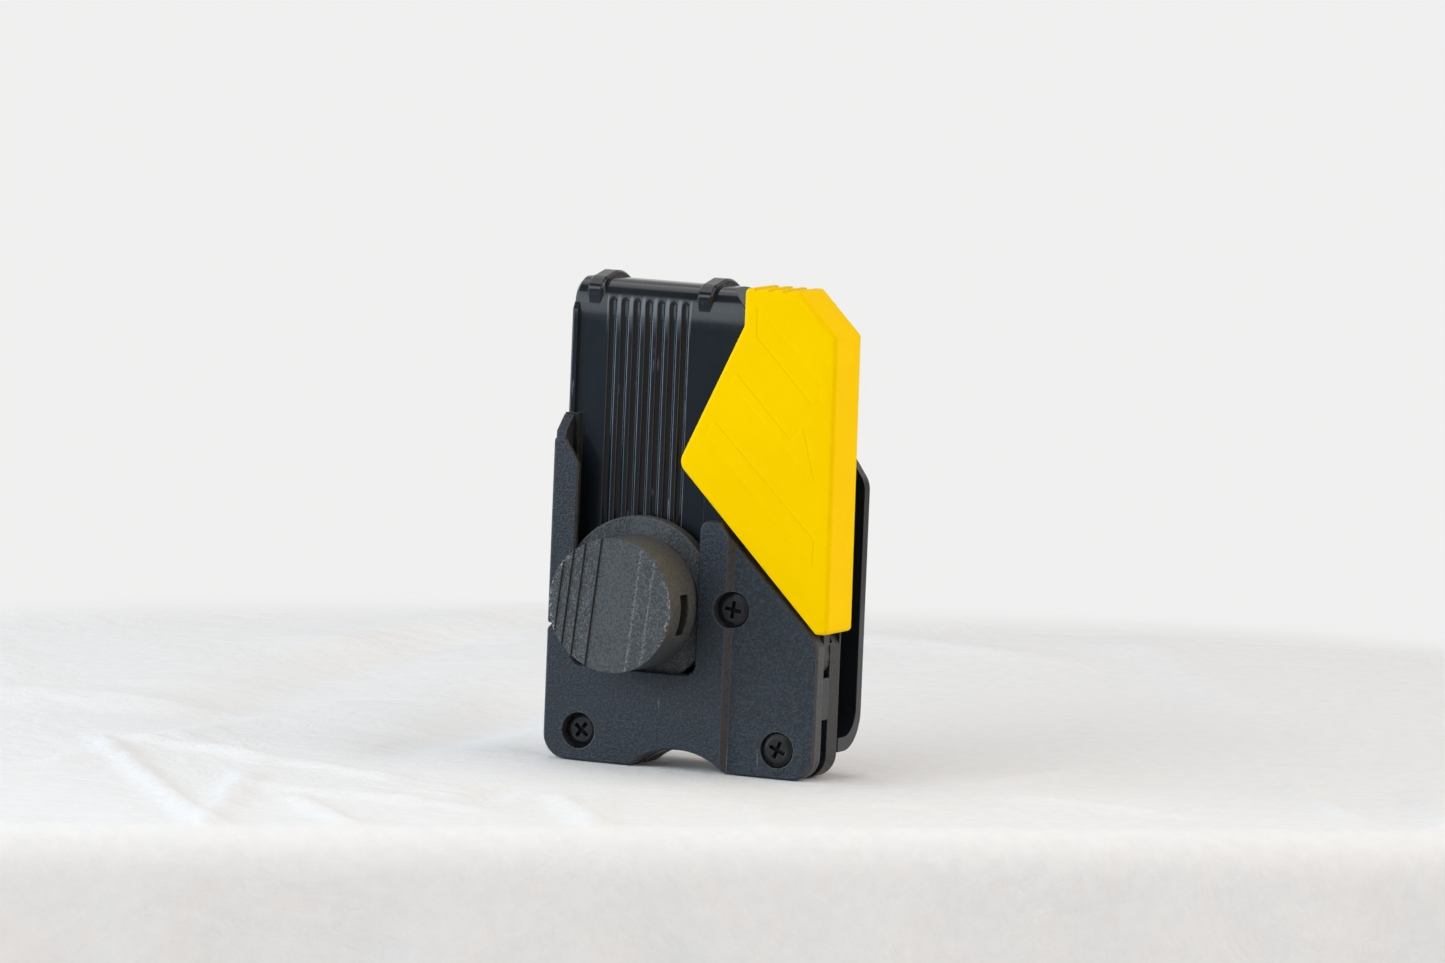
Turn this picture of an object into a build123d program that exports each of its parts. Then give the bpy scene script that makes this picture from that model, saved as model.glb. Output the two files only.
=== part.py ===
"""Self-locking belt holster with a spring lever and a round carrying pin.

Millimetres. +X is to the right of the front face, +Y runs back towards the belt, +Z is up.
Sizes are laid out from the middle of the body's width (x = 0), the front of the cover's
raised area (y = 0) and the bottom edge (z = 0). Each solid is moved by ORIGIN_SHIFT just
before it is written, so that the origin is the bottom centre of the part's bounding box.
"""
from build123d import *
from math import acos, atan2, cos, hypot, pi, radians, sin, sqrt, tan
import os

# ---- body sandwich, front to back: cover, leaf of the guide clip, rear shell
BODY_WIDTH = 66.4
COVER_THICKNESS = 4.9
LEAF_THICKNESS = 3.1
SHELL_THICKNESS = 5.8
SKIN_THICKNESS = 1.2     # back wall of the shell, carried up behind the lever
SHELL_HEIGHT = 69.0
STEP_DEPTH = 1.5         # lower right area of the cover below its raised area
CORNER_RADIUS = 5.5
SMALL_RADIUS = 0.9
EDGE_BREAK = 0.45

# ---- outline of the body
ARM_HEIGHT = 72.0        # top of the cover's left arm
ARM_TIP_WIDTH = 2.8
ARM_SLANT_DROP = 5.7
WINDOW_INSET = 6.3       # left side of the body to the window
WINDOW_WIDTH = 30.6
WINDOW_FLOOR = 21.5
WINDOW_CORNER = 2.4
FINGER_WIDTH = 7.1       # window to the riser
FINGER_HEIGHT = 56.3
FINGER_TIP_WIDTH = 4.9
FINGER_CORNER = 2.4
RISER_RUN = 1.2
SLOPE_TOP_RUN = 8.9      # window to the top of the slanted upper right edge
SLOPE_TOP_Z = 50.9
SHOULDER_INSET = 1.4     # right side of the body to its foot
SHOULDER_Z = 32.5
SIDE_HEIGHT = 30.0
THUMB_X = 0.4
THUMB_WIDTH = 23.0
THUMB_HEIGHT = 4.45
NOTCH_Z = 30.2
NOTCH_DEPTH = 1.3
NOTCH_HEIGHT = 2.4

# ---- pin: round drum on a wider flange
DRUM_DIAMETER = 30.0
DRUM_LENGTH = 14.3
FLANGE_DIAMETER = 38.0
FLANGE_THICKNESS = 3.3
LIP_THICKNESS = 1.3
POCKET_GAP = 0.3
SEAT_GAP = 0.3
TURN_GAP = 0.1
PIN_ANGLE = 6.0          # how far the drum stands turned at rest
DISH_TREADS = 4
DISH_TREAD_DEPTH = 0.3
DISH_CURVE = 0.22        # growth of the treads' squared half width per tread
DISH_OFFSET = 0.6
NUT_FLATS = 8.0
NUT_THICKNESS = 4.0
NUT_BACKSET = 4.7        # flange front to the nut
NUT_GAP = 0.1
NUT_SLOT_HEIGHT = 9.3    # mouth of the side slot
BOLT_DIAMETER = 5.0
BOLT_LENGTH = 14.0
BOLT_HEAD = 9.2
BOLT_HEAD_HEIGHT = 2.4

# ---- guide clip: fluted leaf, bend over the top, belt leg with its hook
CLIP_TOP = 107.7
LEAF_INSET = 0.6
LEAF_OVERLAP = 8.2       # leaf to the right of the window
LEAF_SHEET = 2.0
FLOOR_DEPTH = 1.1        # channel floor behind the clamped face
RIM_WIDTH = 1.6
RIM_HEIGHT = 0.8
RIM_RADIUS = 0.75
RAIL_TOP = 77.3
RAIL_WIDTH = 3.4
RAIL_BEVEL = 0.7
GUIDE_RAIL_LAP = 1.6     # guide rail left of the window's right side
GROOVE_COUNT = 7
GROOVE_PITCH = 3.0
GROOVE_RADIUS = 0.96
GROOVE_DEPTH = 0.7
GROOVE_INSET = 19.45     # left side of the body to the middle flute
GROOVE_LOW = 20.0
GROOVE_END_DROP = 4.9    # top of the clip to where the flutes lean out
GROOVE_LEAN = 20.0
BEND_RADIUS = 5.6        # front corner of the bend
BEND_INNER_RADIUS = 2.5
BEND_REAR_RADIUS = 11.5
TOP_CUT_RUN = 6.4        # slanted right end of the bend
TOP_CUT_DROP = 6.1
BEND_END_BEVEL = 0.9     # bevelled left end of the strap
GUSSET_SPACING = 27.2
GUSSET_WIDTH = 3.8
GUSSET_HEIGHT = 1.5
GUSSET_DROP = 5.6        # top of the clip to a gusset's start in front
GUSSET_CORNER = 3.7      # its front corner
GUSSET_FALL = 19.7       # and to its end behind
BELT_GAP = 9.1
LEG_THICKNESS = 2.6
LEG_FLARE_DROP = 12.4    # right edge of the leg slants out from here
LEG_FLARE_LOW = 65.2     # to its full width here
HOOK_LOW = 5.6
HOOK_THICKNESS = 3.2
HOOK_CORNER = 8.5
HOOK_GAP = 0.2
TAB_LOW = 13.5           # leaf edge flush with the right side of the body
TAB_HIGH = 23.0
EDGE_RECESS = 1.0

# ---- lever: hinged arm inside a hollow cap
PIVOT_INSET = 5.3
PIVOT_Z = 27.6
PIVOT_DIAMETER = 3.0
PIVOT_SEAT = 2.6
PIVOT_LENGTH = 10.1
RUNNING_GAP = 0.05
SIDE_GAP = 0.1
BOSS_RADIUS = 5.2
BOSS_GAP = 0.6
ARM_FOOT_Z = 24.0
ARM_FOOT_RADIUS = 2.0
ARM_RIGHT_INSET = 0.2
ARM_INSET = 2.9          # left side of the cap's deep part to the arm
ARM_TOP_DROP = 12.8
CAP_FRONT = -0.1
CAP_DEPTH = 12.5
CAP_WALL = 2.0
CAP_CLEARANCE = 0.6      # leaf to the part that reaches to the back
CAP_WING_DEPTH = 4.6     # front part that reaches over the leaf
CAP_OVERHANG = 2.8       # body to the cap's right side
CAP_LEAN = 0.6
CAP_RISE = 1.0           # cap above the clip
CAP_WAIST_DROP = 8.5
CAP_NOSE_REACH = 6.1     # nose left of the window's right side
CAP_NOSE_Z = 68.5
CAP_NOSE_RADIUS = 3.0
CAP_BOTTOM = 33.1
CAP_TOE_INSET = 0.3
CAP_CUT_RUN = 10.3       # slanted top right corner
CAP_CUT_DROP = 9.65
CAP_CORNER = 1.2
CAP_EDGE = 0.9
CAP_SLOT_BACK = 10.2
RIDGE_COUNT = 4
RIDGE_INSET = 1.1        # left side of the cap to the first ridge
RIDGE_WIDTH = 1.45
RIDGE_LAST = 1.75        # the last one, up to the slanted corner
RIDGE_HEIGHT = 0.5
RIDGE_LEAN = 0.25          # run of the steep right side of a ridge

# ---- fasteners and spring
SCREW_DIAMETER = 3.0
SCREW_HEAD = 7.15
SCREW_HEAD_HEIGHT = 1.9
SCREW_LENGTH = 8.0
SCREW_CLEARANCE = 0.2
COUNTERBORE = 8.1
COUNTERBORE_FLOOR = 3.6
CROSS_LENGTH = 4.1
CROSS_WIDTH = 1.05
CROSS_DEPTH = 1.1
SCREW_LEFT_INSET = 8.8
SCREW_LEFT_Z = 6.7
SCREW_MIDDLE_RUN = 1.1   # right of the riser
SCREW_MIDDLE_Z = 36.75
SCREW_RIGHT_INSET = 9.1
SCREW_RIGHT_Z = 6.4
SCREW_TURNS = (38, 8, 22)
INSERT_DIAMETER = 4.2
INSERT_LENGTH = 4.0
CAP_SCREW_DIAMETER = 2.5
CAP_SCREW_HEAD = 4.6
CAP_SCREW_HEAD_HEIGHT = 1.4
CAP_SCREW_LENGTH = 8.0
CAP_BOSS_DIAMETER = 6.0
CAP_SCREW_INSET = 3.9    # left of the pivot
CAP_SCREW_DROP = 19.8    # the upper one, under the cap's top
CAP_SCREW_LOW = 56.0
WASHER_DIAMETER = 7.0
WASHER_THICKNESS = 0.5
BUSH_DIAMETER = 5.0
BUSH_LENGTH = 3.9
SPRING_WIRE = 0.7
SPRING_WIRE_SIDES = 6    # the round wire's facets
SPRING_DIAMETER = 7.6
SPRING_PITCH = 1.3
SPRING_POCKET = 10.4
SPRING_TURNS = 2
SPRING_FOOT = 6.5
SPRING_OVERHANG = 1.5
SPRING_SLOT = 1.1
PEG_X = -0.9             # peg on the arm, from the pivot
PEG_Z = 13.9
PEG_DIAMETER = 1.8
PEG_HEIGHT = 1.7

# ---- places that follow from the sizes
LEFT = -BODY_WIDTH / 2
RIGHT = BODY_WIDTH / 2
LEAF_BACK = COVER_THICKNESS + LEAF_THICKNESS
SHELL_BACK = LEAF_BACK + SHELL_THICKNESS
SKIN_FRONT = SHELL_BACK - SKIN_THICKNESS
FLOOR = COVER_THICKNESS + FLOOR_DEPTH
LEAF_LEFT = LEFT + LEAF_INSET
WINDOW_LEFT = LEFT + WINDOW_INSET
WINDOW_RIGHT = WINDOW_LEFT + WINDOW_WIDTH
RISER_X = WINDOW_RIGHT + FINGER_WIDTH
SLOPE_TOP_X = WINDOW_RIGHT + SLOPE_TOP_RUN
SHOULDER_X = RIGHT - SHOULDER_INSET
LEAF_RIGHT = WINDOW_RIGHT + LEAF_OVERLAP
GUIDE_RAIL_X = WINDOW_RIGHT - GUIDE_RAIL_LAP
GROOVE_X = LEFT + GROOVE_INSET
TOP_CUT_X = LEAF_RIGHT - TOP_CUT_RUN
PIVOT_X = RIGHT - PIVOT_INSET
CAP_TOP = CLIP_TOP + CAP_RISE
CAP_RIGHT = RIGHT + CAP_OVERHANG
CAP_BACK_LEFT = LEAF_RIGHT + CAP_CLEARANCE
CAP_NOSE_X = WINDOW_RIGHT - CAP_NOSE_REACH
CAP_TOE_X = RIGHT - CAP_TOE_INSET
CAP_CUT_X = CAP_RIGHT - CAP_CUT_RUN
ARM_LEFT = CAP_BACK_LEFT + ARM_INSET
PIN_X = (WINDOW_LEFT + WINDOW_RIGHT) / 2
PIN_Z = WINDOW_FLOOR + SEAT_GAP + DRUM_DIAMETER / 2
FLANGE_FRONT = (LIP_THICKNESS + COVER_THICKNESS - FLANGE_THICKNESS) / 2
FLANGE_BACK = FLANGE_FRONT + FLANGE_THICKNESS
DRUM_BACK = FLANGE_FRONT - TURN_GAP
DRUM_FRONT = DRUM_BACK - DRUM_LENGTH
NUT_BACK = FLANGE_FRONT - NUT_BACKSET
POCKET_RADIUS = FLANGE_DIAMETER / 2 + POCKET_GAP
LEG_FRONT = SHELL_BACK + BELT_GAP
LEG_BACK = LEG_FRONT + LEG_THICKNESS
CAP_BACK = CAP_FRONT + CAP_DEPTH
WING_BACK = CAP_FRONT + CAP_WING_DEPTH
ARM_FRONT = COVER_THICKNESS + SIDE_GAP
ARM_BACK = LEAF_BACK - SIDE_GAP
ARM_RIGHT = RIGHT - ARM_RIGHT_INSET
PIVOT_FRONT = COVER_THICKNESS - PIVOT_SEAT
SPRING_BACK = LEAF_BACK + BUSH_LENGTH
SPRING_FRONT_AXIS = LEAF_BACK + SIDE_GAP + SPRING_WIRE / 2
COVER_SCREWS = {
    "left": (LEFT + SCREW_LEFT_INSET, SCREW_LEFT_Z, SCREW_TURNS[0]),
    "middle": (RISER_X + SCREW_MIDDLE_RUN, SCREW_MIDDLE_Z, SCREW_TURNS[1]),
    "right": (RIGHT - SCREW_RIGHT_INSET, SCREW_RIGHT_Z, SCREW_TURNS[2]),
}
CAP_SCREWS = {
    "upper": (PIVOT_X - CAP_SCREW_INSET, CAP_TOP - CAP_SCREW_DROP),
    "lower": (PIVOT_X - CAP_SCREW_INSET, CAP_SCREW_LOW),
}
REAR = LEG_BACK + GUSSET_HEIGHT
ORIGIN_SHIFT = (-(LEFT + CAP_RIGHT) / 2, -(DRUM_FRONT + REAR) / 2, 0)
MARGIN = 1.0             # how far cutting tools overrun
HIDDEN_SIDES = 14        # facets of a bore or shank inside the part
FAR = 150.0


def slope_z(x):
    """Height of the body's slanted upper right edge at x."""
    return SLOPE_TOP_Z - (x - SLOPE_TOP_X) * (SLOPE_TOP_Z - SHOULDER_Z) / (SHOULDER_X - SLOPE_TOP_X)


def cap_slope_z(x, inset):
    """Height of the cap's slanted lower edge at x, moved into the cap by inset."""
    run = CAP_TOE_X - CAP_NOSE_X
    rise = CAP_NOSE_Z - CAP_BOTTOM
    return CAP_BOTTOM + (CAP_TOE_X - x) * rise / run + inset * hypot(run, rise) / run


def closed(corners):
    """Closed wire from (u, v, corner radius) triples."""
    points = [(u, v) for u, v, _ in corners]
    return FilletPolyline(*points, radius=[r for _, _, r in corners], close=True)


def slab(corners, front, back):
    """Solid between the planes y = front and y = back from an outline in X and Z."""
    return extrude(Plane.XZ.offset(-front) * make_face(closed(corners)), amount=front - back)


def side_slab(corners, x0, x1):
    """Solid between two X planes from an outline in Y and Z."""
    return extrude(Plane.YZ.offset(x0) * make_face(closed(corners)), amount=x1 - x0)


def rod(x, z, diameter, front, back):
    """Cylinder along Y."""
    return extrude(Plane.XZ.offset(-front) * Pos(x, z) * Circle(diameter / 2), amount=front - back)


def facet_rod(x, z, diameter, front, back):
    """Many-sided rod along Y, for bores and shanks inside the part."""
    section = RegularPolygon(diameter / 2, HIDDEN_SIDES)
    return extrude(Plane.XZ.offset(-front) * Pos(x, z) * section, amount=front - back)


def box(x0, x1, y0, y1, z0, z1):
    """Box between two corners."""
    return Pos((x0 + x1) / 2, (y0 + y1) / 2, (z0 + z1) / 2) * Box(x1 - x0, y1 - y0, z1 - z0)


def screw_holes(front, back):
    """Clearance holes for the three cover screws."""
    hole = SCREW_DIAMETER + 2 * SCREW_CLEARANCE
    return [facet_rod(x, z, hole, front - MARGIN, back + MARGIN) for x, z, _ in COVER_SCREWS.values()]


def thumb_notch(front, back):
    """Arched relief in the bottom edge, through to the back."""
    radius = ((THUMB_WIDTH / 2) ** 2 + THUMB_HEIGHT**2) / (2 * THUMB_HEIGHT)
    return rod(THUMB_X, THUMB_HEIGHT - radius, 2 * radius, front - MARGIN, back + MARGIN)


def body_right_side():
    """Lower corners and slanted right edge that all layers of the body share."""
    return [
        (LEFT, 0, CORNER_RADIUS),
        (RIGHT, 0, CORNER_RADIUS),
        (RIGHT, SIDE_HEIGHT, SMALL_RADIUS),
        (SHOULDER_X, SHOULDER_Z, SMALL_RADIUS),
        (SLOPE_TOP_X, SLOPE_TOP_Z, SMALL_RADIUS),
    ]


def cover_slab(front):
    """Cover outline with its left arm and right finger, chamfered in front."""
    tops = [
        (WINDOW_RIGHT + FINGER_TIP_WIDTH, FINGER_HEIGHT, SMALL_RADIUS),
        (WINDOW_RIGHT, FINGER_HEIGHT, FINGER_CORNER),
        (WINDOW_RIGHT, WINDOW_FLOOR, WINDOW_CORNER),
        (WINDOW_LEFT, WINDOW_FLOOR, WINDOW_CORNER),
        (WINDOW_LEFT, ARM_HEIGHT - ARM_SLANT_DROP, SMALL_RADIUS),
        (LEFT + ARM_TIP_WIDTH, ARM_HEIGHT, SMALL_RADIUS),
        (LEFT, ARM_HEIGHT, SMALL_RADIUS),
    ]
    plate = slab(body_right_side() + tops, front, COVER_THICKNESS) - thumb_notch(front, COVER_THICKNESS)
    return chamfer(plate.faces().sort_by(Axis.Y)[0].edges(), EDGE_BREAK)


def arm_ramp():
    """Outer wall of the left arm, carried back to the leaf at 45 degrees."""
    corners = [
        (LIP_THICKNESS, ARM_HEIGHT - ARM_SLANT_DROP, 0),
        (COVER_THICKNESS, ARM_HEIGHT - ARM_SLANT_DROP, 0),
        (COVER_THICKNESS, ARM_HEIGHT + COVER_THICKNESS, 0),
        (LIP_THICKNESS, ARM_HEIGHT + LIP_THICKNESS, 0),
    ]
    return side_slab(corners, LEFT, PIN_X - POCKET_RADIUS)


def flange_pocket():
    """U-shaped pocket behind the lips, open at the top."""
    reach = POCKET_RADIUS
    lower = rod(PIN_X, PIN_Z, 2 * reach, LIP_THICKNESS, COVER_THICKNESS + MARGIN)
    return lower + box(PIN_X - reach, PIN_X + reach, LIP_THICKNESS, COVER_THICKNESS + MARGIN, PIN_Z, FAR)


def raised_zone():
    """Everything left of the slanted riser."""
    rise = RISER_RUN / STEP_DEPTH
    section = Polyline(
        (RISER_X - rise * MARGIN, -MARGIN),
        (RISER_X + rise * LEAF_BACK, LEAF_BACK),
        (-FAR, LEAF_BACK),
        (-FAR, -MARGIN),
        close=True,
    )
    return Pos(0, 0, -MARGIN) * extrude(make_face(section), amount=FAR)


def front_plate():
    """Cover with the window, the pin's lips, the riser and the counterbores."""
    cover = (cover_slab(0) & raised_zone()) + cover_slab(STEP_DEPTH)
    cover = cover + arm_ramp() - flange_pocket()
    for x, z, _ in COVER_SCREWS.values():
        cover -= rod(x, z, COUNTERBORE, -MARGIN, COUNTERBORE_FLOOR)
    cover -= screw_holes(0, COVER_THICKNESS)
    cover -= rod(PIVOT_X, PIVOT_Z, PIVOT_DIAMETER, PIVOT_FRONT, COVER_THICKNESS + MARGIN)
    recess = COVER_THICKNESS - WASHER_THICKNESS
    cover -= facet_rod(PIVOT_X, PIVOT_Z, WASHER_DIAMETER, recess, COVER_THICKNESS + MARGIN)
    notch = [
        (LEFT - MARGIN, NOTCH_Z - NOTCH_HEIGHT, 0),
        (LEFT + NOTCH_DEPTH, NOTCH_Z, 0),
        (LEFT - MARGIN, NOTCH_Z + NOTCH_HEIGHT / 4, 0),
    ]
    return cover - slab(notch, -MARGIN, COVER_THICKNESS + MARGIN)


def rear_shell():
    """Rear moulding: screw bores, spring pocket and a back wall behind the lever."""
    tops = [
        (LEAF_RIGHT, slope_z(LEAF_RIGHT), 0),
        (LEAF_RIGHT, SHELL_HEIGHT, 0),
        (LEFT, SHELL_HEIGHT, CORNER_RADIUS),
    ]
    wall = [
        (LEFT, 0, CORNER_RADIUS),
        (RIGHT, 0, CORNER_RADIUS),
        (RIGHT, SHELL_HEIGHT, CORNER_RADIUS),
        (LEFT, SHELL_HEIGHT, CORNER_RADIUS),
    ]
    shell = slab(body_right_side()[:-1] + tops, LEAF_BACK, SHELL_BACK)
    shell += slab(wall, SKIN_FRONT, SHELL_BACK)
    shell = chamfer(shell.faces().sort_by(Axis.Y)[-1].edges(), EDGE_BREAK)
    shell -= thumb_notch(LEAF_BACK, SHELL_BACK)
    for x, z, _ in COVER_SCREWS.values():
        shell -= facet_rod(x, z, INSERT_DIAMETER, LEAF_BACK - MARGIN, LEAF_BACK + INSERT_LENGTH)
    shell -= facet_rod(PIVOT_X, PIVOT_Z, SPRING_POCKET, LEAF_BACK - MARGIN, SPRING_BACK)
    shell -= rod(PIVOT_X, PIVOT_Z, PIVOT_DIAMETER, LEAF_BACK, PIVOT_FRONT + PIVOT_LENGTH)
    foot_z = PIVOT_Z - SPRING_DIAMETER / 2
    foot_end = PIVOT_X - SPRING_FOOT - SPRING_SLOT / 2
    shell -= box(foot_end, PIVOT_X, LEAF_BACK - MARGIN, SPRING_BACK, foot_z - SPRING_SLOT / 2,
                 foot_z + SPRING_SLOT / 2)
    sweep_slot = [
        (PIVOT_X + SPRING_DIAMETER / 2 + SPRING_SLOT, PIVOT_Z, 0),
        (PIVOT_X + SPRING_DIAMETER / 2 + SPRING_SLOT, FAR, 0),
        (PIVOT_X + PEG_X - PEG_DIAMETER, FAR, 0),
        (PIVOT_X + PEG_X - PEG_DIAMETER, PIVOT_Z, 0),
    ]
    return shell - slab(sweep_slot, LEAF_BACK - MARGIN, ARM_BACK + PEG_HEIGHT + SIDE_GAP)


def leaf_plate():
    """Flat leaf clamped between cover and shell, up to the bend."""
    inset = EDGE_BREAK / 2
    arm_side = PIVOT_X - BOSS_RADIUS - BOSS_GAP
    corners = [
        (LEFT + inset, inset, CORNER_RADIUS),
        (RIGHT - EDGE_RECESS, inset, CORNER_RADIUS),
        (RIGHT - EDGE_RECESS, TAB_LOW, 0),
        (RIGHT, TAB_LOW, inset),
        (RIGHT, TAB_HIGH, inset),
        (PIVOT_X, TAB_HIGH, 0),
        (arm_side, PIVOT_Z, 0),
        (arm_side, slope_z(arm_side), inset),
        (LEAF_RIGHT, slope_z(LEAF_RIGHT), inset),
        (LEAF_RIGHT, CLIP_TOP - BEND_RADIUS, 0),
        (LEAF_LEFT, CLIP_TOP - BEND_RADIUS, 0),
        (LEAF_LEFT, RAIL_TOP, 0),
        (LEFT + inset, RAIL_TOP, 0),
    ]
    plate = slab(corners, COVER_THICKNESS, LEAF_BACK)
    return plate - rod(PIVOT_X, PIVOT_Z, 2 * (BOSS_RADIUS + BOSS_GAP), COVER_THICKNESS - MARGIN,
                       LEAF_BACK + MARGIN)


def channel_recess():
    """What the leaf loses in front of the channel floor, leaving a rim on the left."""
    rail = LEFT + RAIL_WIDTH
    section = Polyline(
        (rail, COVER_THICKNESS),
        (rail + RAIL_BEVEL, FLOOR),
        (GUIDE_RAIL_X, FLOOR),
        (GUIDE_RAIL_X, 0),
        (rail, 0),
        close=True,
    )
    low = WINDOW_FLOOR - (FLANGE_DIAMETER - DRUM_DIAMETER) / 2 - MARGIN
    lower = Pos(0, 0, low) * extrude(make_face(section), amount=RAIL_TOP - low + MARGIN)
    upper = box(LEAF_LEFT + RIM_WIDTH, LEAF_RIGHT + MARGIN, 0, FLOOR, RAIL_TOP, FAR)
    bend = CLIP_TOP - BEND_RADIUS
    rim = [
        (0, RAIL_TOP, 0),
        (FLOOR - RIM_HEIGHT, RAIL_TOP, 0),
        (FLOOR - RIM_HEIGHT, bend - 2 * RIM_HEIGHT, 0),
        (FLOOR, bend, 0),
        (0, bend, 0),
    ]
    return lower + upper + side_slab(rim, LEFT - MARGIN, LEAF_LEFT + RIM_WIDTH)


def belt_strap():
    """Bend over the top, rear leg and bottom hook, in side view."""
    start = CLIP_TOP - BEND_RADIUS - MARGIN
    under = CLIP_TOP - LEG_THICKNESS
    corners = [
        (FLOOR, start, 0),
        (FLOOR, CLIP_TOP, BEND_RADIUS),
        (LEG_BACK, CLIP_TOP, BEND_REAR_RADIUS),
        (LEG_BACK, HOOK_LOW, HOOK_CORNER),
        (SHELL_BACK + HOOK_GAP, HOOK_LOW, 0),
        (SHELL_BACK + HOOK_GAP, HOOK_LOW + HOOK_THICKNESS, 0),
        (LEG_FRONT, HOOK_LOW + HOOK_THICKNESS, HOOK_CORNER - LEG_THICKNESS),
        (LEG_FRONT, under, BEND_REAR_RADIUS - LEG_THICKNESS),
        (FLOOR + LEAF_SHEET, under, BEND_INNER_RADIUS),
        (FLOOR + LEAF_SHEET, start, 0),
    ]
    strap = side_slab(corners, LEAF_LEFT, RIGHT)
    left_end = strap.faces().sort_by(Axis.X)[0]
    return chamfer(left_end.edges().sort_by(Axis.Z)[-1], BEND_END_BEVEL)


def right_of_clip():
    """What the strap loses on its right: slanted end of the bend, then the leg's flare."""
    slant = TOP_CUT_DROP / TOP_CUT_RUN
    corners = [
        (TOP_CUT_X - MARGIN, CLIP_TOP + slant * MARGIN, 0),
        (LEAF_RIGHT, CLIP_TOP - TOP_CUT_DROP, SMALL_RADIUS),
        (LEAF_RIGHT, CLIP_TOP - LEG_FLARE_DROP, CORNER_RADIUS),
        (RIGHT, LEG_FLARE_LOW, CORNER_RADIUS),
        (RIGHT, LEG_FLARE_LOW - 2 * CORNER_RADIUS, 0),
        (FAR, LEG_FLARE_LOW - 2 * CORNER_RADIUS, 0),
        (FAR, FAR, 0),
        (TOP_CUT_X - MARGIN, FAR, 0),
    ]
    return slab(corners, 0, LEG_BACK + MARGIN)


def gusset(x):
    """Rib over the bend: it rises from the leaf, stands proudest on top and fades behind."""
    top = CLIP_TOP + GUSSET_HEIGHT
    low = CLIP_TOP - GUSSET_DROP
    end = CLIP_TOP - GUSSET_FALL
    under = CLIP_TOP - LEG_THICKNESS / 2
    inner = LEG_BACK - LEG_THICKNESS / 2
    corners = [
        (FLOOR, low, 0),
        (FLOOR - GUSSET_HEIGHT / 3, CLIP_TOP - GUSSET_CORNER / 2, GUSSET_CORNER / 2),
        (FLOOR + GUSSET_CORNER / 2, CLIP_TOP + GUSSET_HEIGHT / 5, GUSSET_CORNER / 2),
        (FLOOR + 2 * GUSSET_CORNER, top, GUSSET_CORNER),
        (REAR, top, BEND_REAR_RADIUS + GUSSET_HEIGHT),
        (REAR, end + GUSSET_CORNER, GUSSET_CORNER),
        (LEG_BACK, end, 0),
        (inner, end, 0),
        (inner, under, BEND_REAR_RADIUS - LEG_THICKNESS / 2),
        (FLOOR + MARGIN, under, BEND_RADIUS - 2 * MARGIN),
        (FLOOR + MARGIN, low, 0),
    ]
    rib = side_slab(corners, x - GUSSET_WIDTH / 2, x + GUSSET_WIDTH / 2)
    sides = rib.faces().sort_by(Axis.X)
    edges = [e for f in (sides[0], sides[-1]) for e in f.edges()]
    outer = [e for e in edges if e.center().Z > under + MARGIN or e.center().Y > LEG_BACK or
             e.center().Y < FLOOR]
    return chamfer(outer, EDGE_BREAK)


def flute():
    """Round cutter for one flute, leaning out of the leaf at its top."""
    end = CLIP_TOP - GROOVE_END_DROP
    base = (Align.CENTER, Align.CENTER, Align.MIN)
    overlap = GROOVE_RADIUS * tan(radians(GROOVE_LEAN))
    cutter = Pos(0, 0, GROOVE_LOW) * Cylinder(GROOVE_RADIUS, end - GROOVE_LOW + overlap, align=base)
    cutter += Pos(0, 0, end) * Rot(GROOVE_LEAN, 0, 0) * Cylinder(GROOVE_RADIUS, BEND_RADIUS, align=base)
    return Pos(0, FLOOR + GROOVE_DEPTH - GROOVE_RADIUS, 0) * cutter


def guide_clip():
    """One moulding: fluted leaf, bend with two gussets, rear leg and belt hook."""
    leaf = leaf_plate() - channel_recess()
    outer = [e for e in leaf.edges() if abs(e.center().X - LEAF_LEFT) < RUNNING_GAP]
    leaf = fillet([e for e in outer if e.center().Y < FLOOR], RIM_RADIUS)
    clip = leaf + (belt_strap() - right_of_clip())
    clip += [gusset(GROOVE_X + side * GUSSET_SPACING / 2) for side in (-1, 1)]
    first = GROOVE_X - (GROOVE_COUNT - 1) * GROOVE_PITCH / 2
    clip -= [Pos(first + i * GROOVE_PITCH, 0, 0) * flute() for i in range(GROOVE_COUNT)]
    clip -= thumb_notch(COVER_THICKNESS, LEAF_BACK)
    return clip - screw_holes(COVER_THICKNESS, LEAF_BACK)


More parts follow.
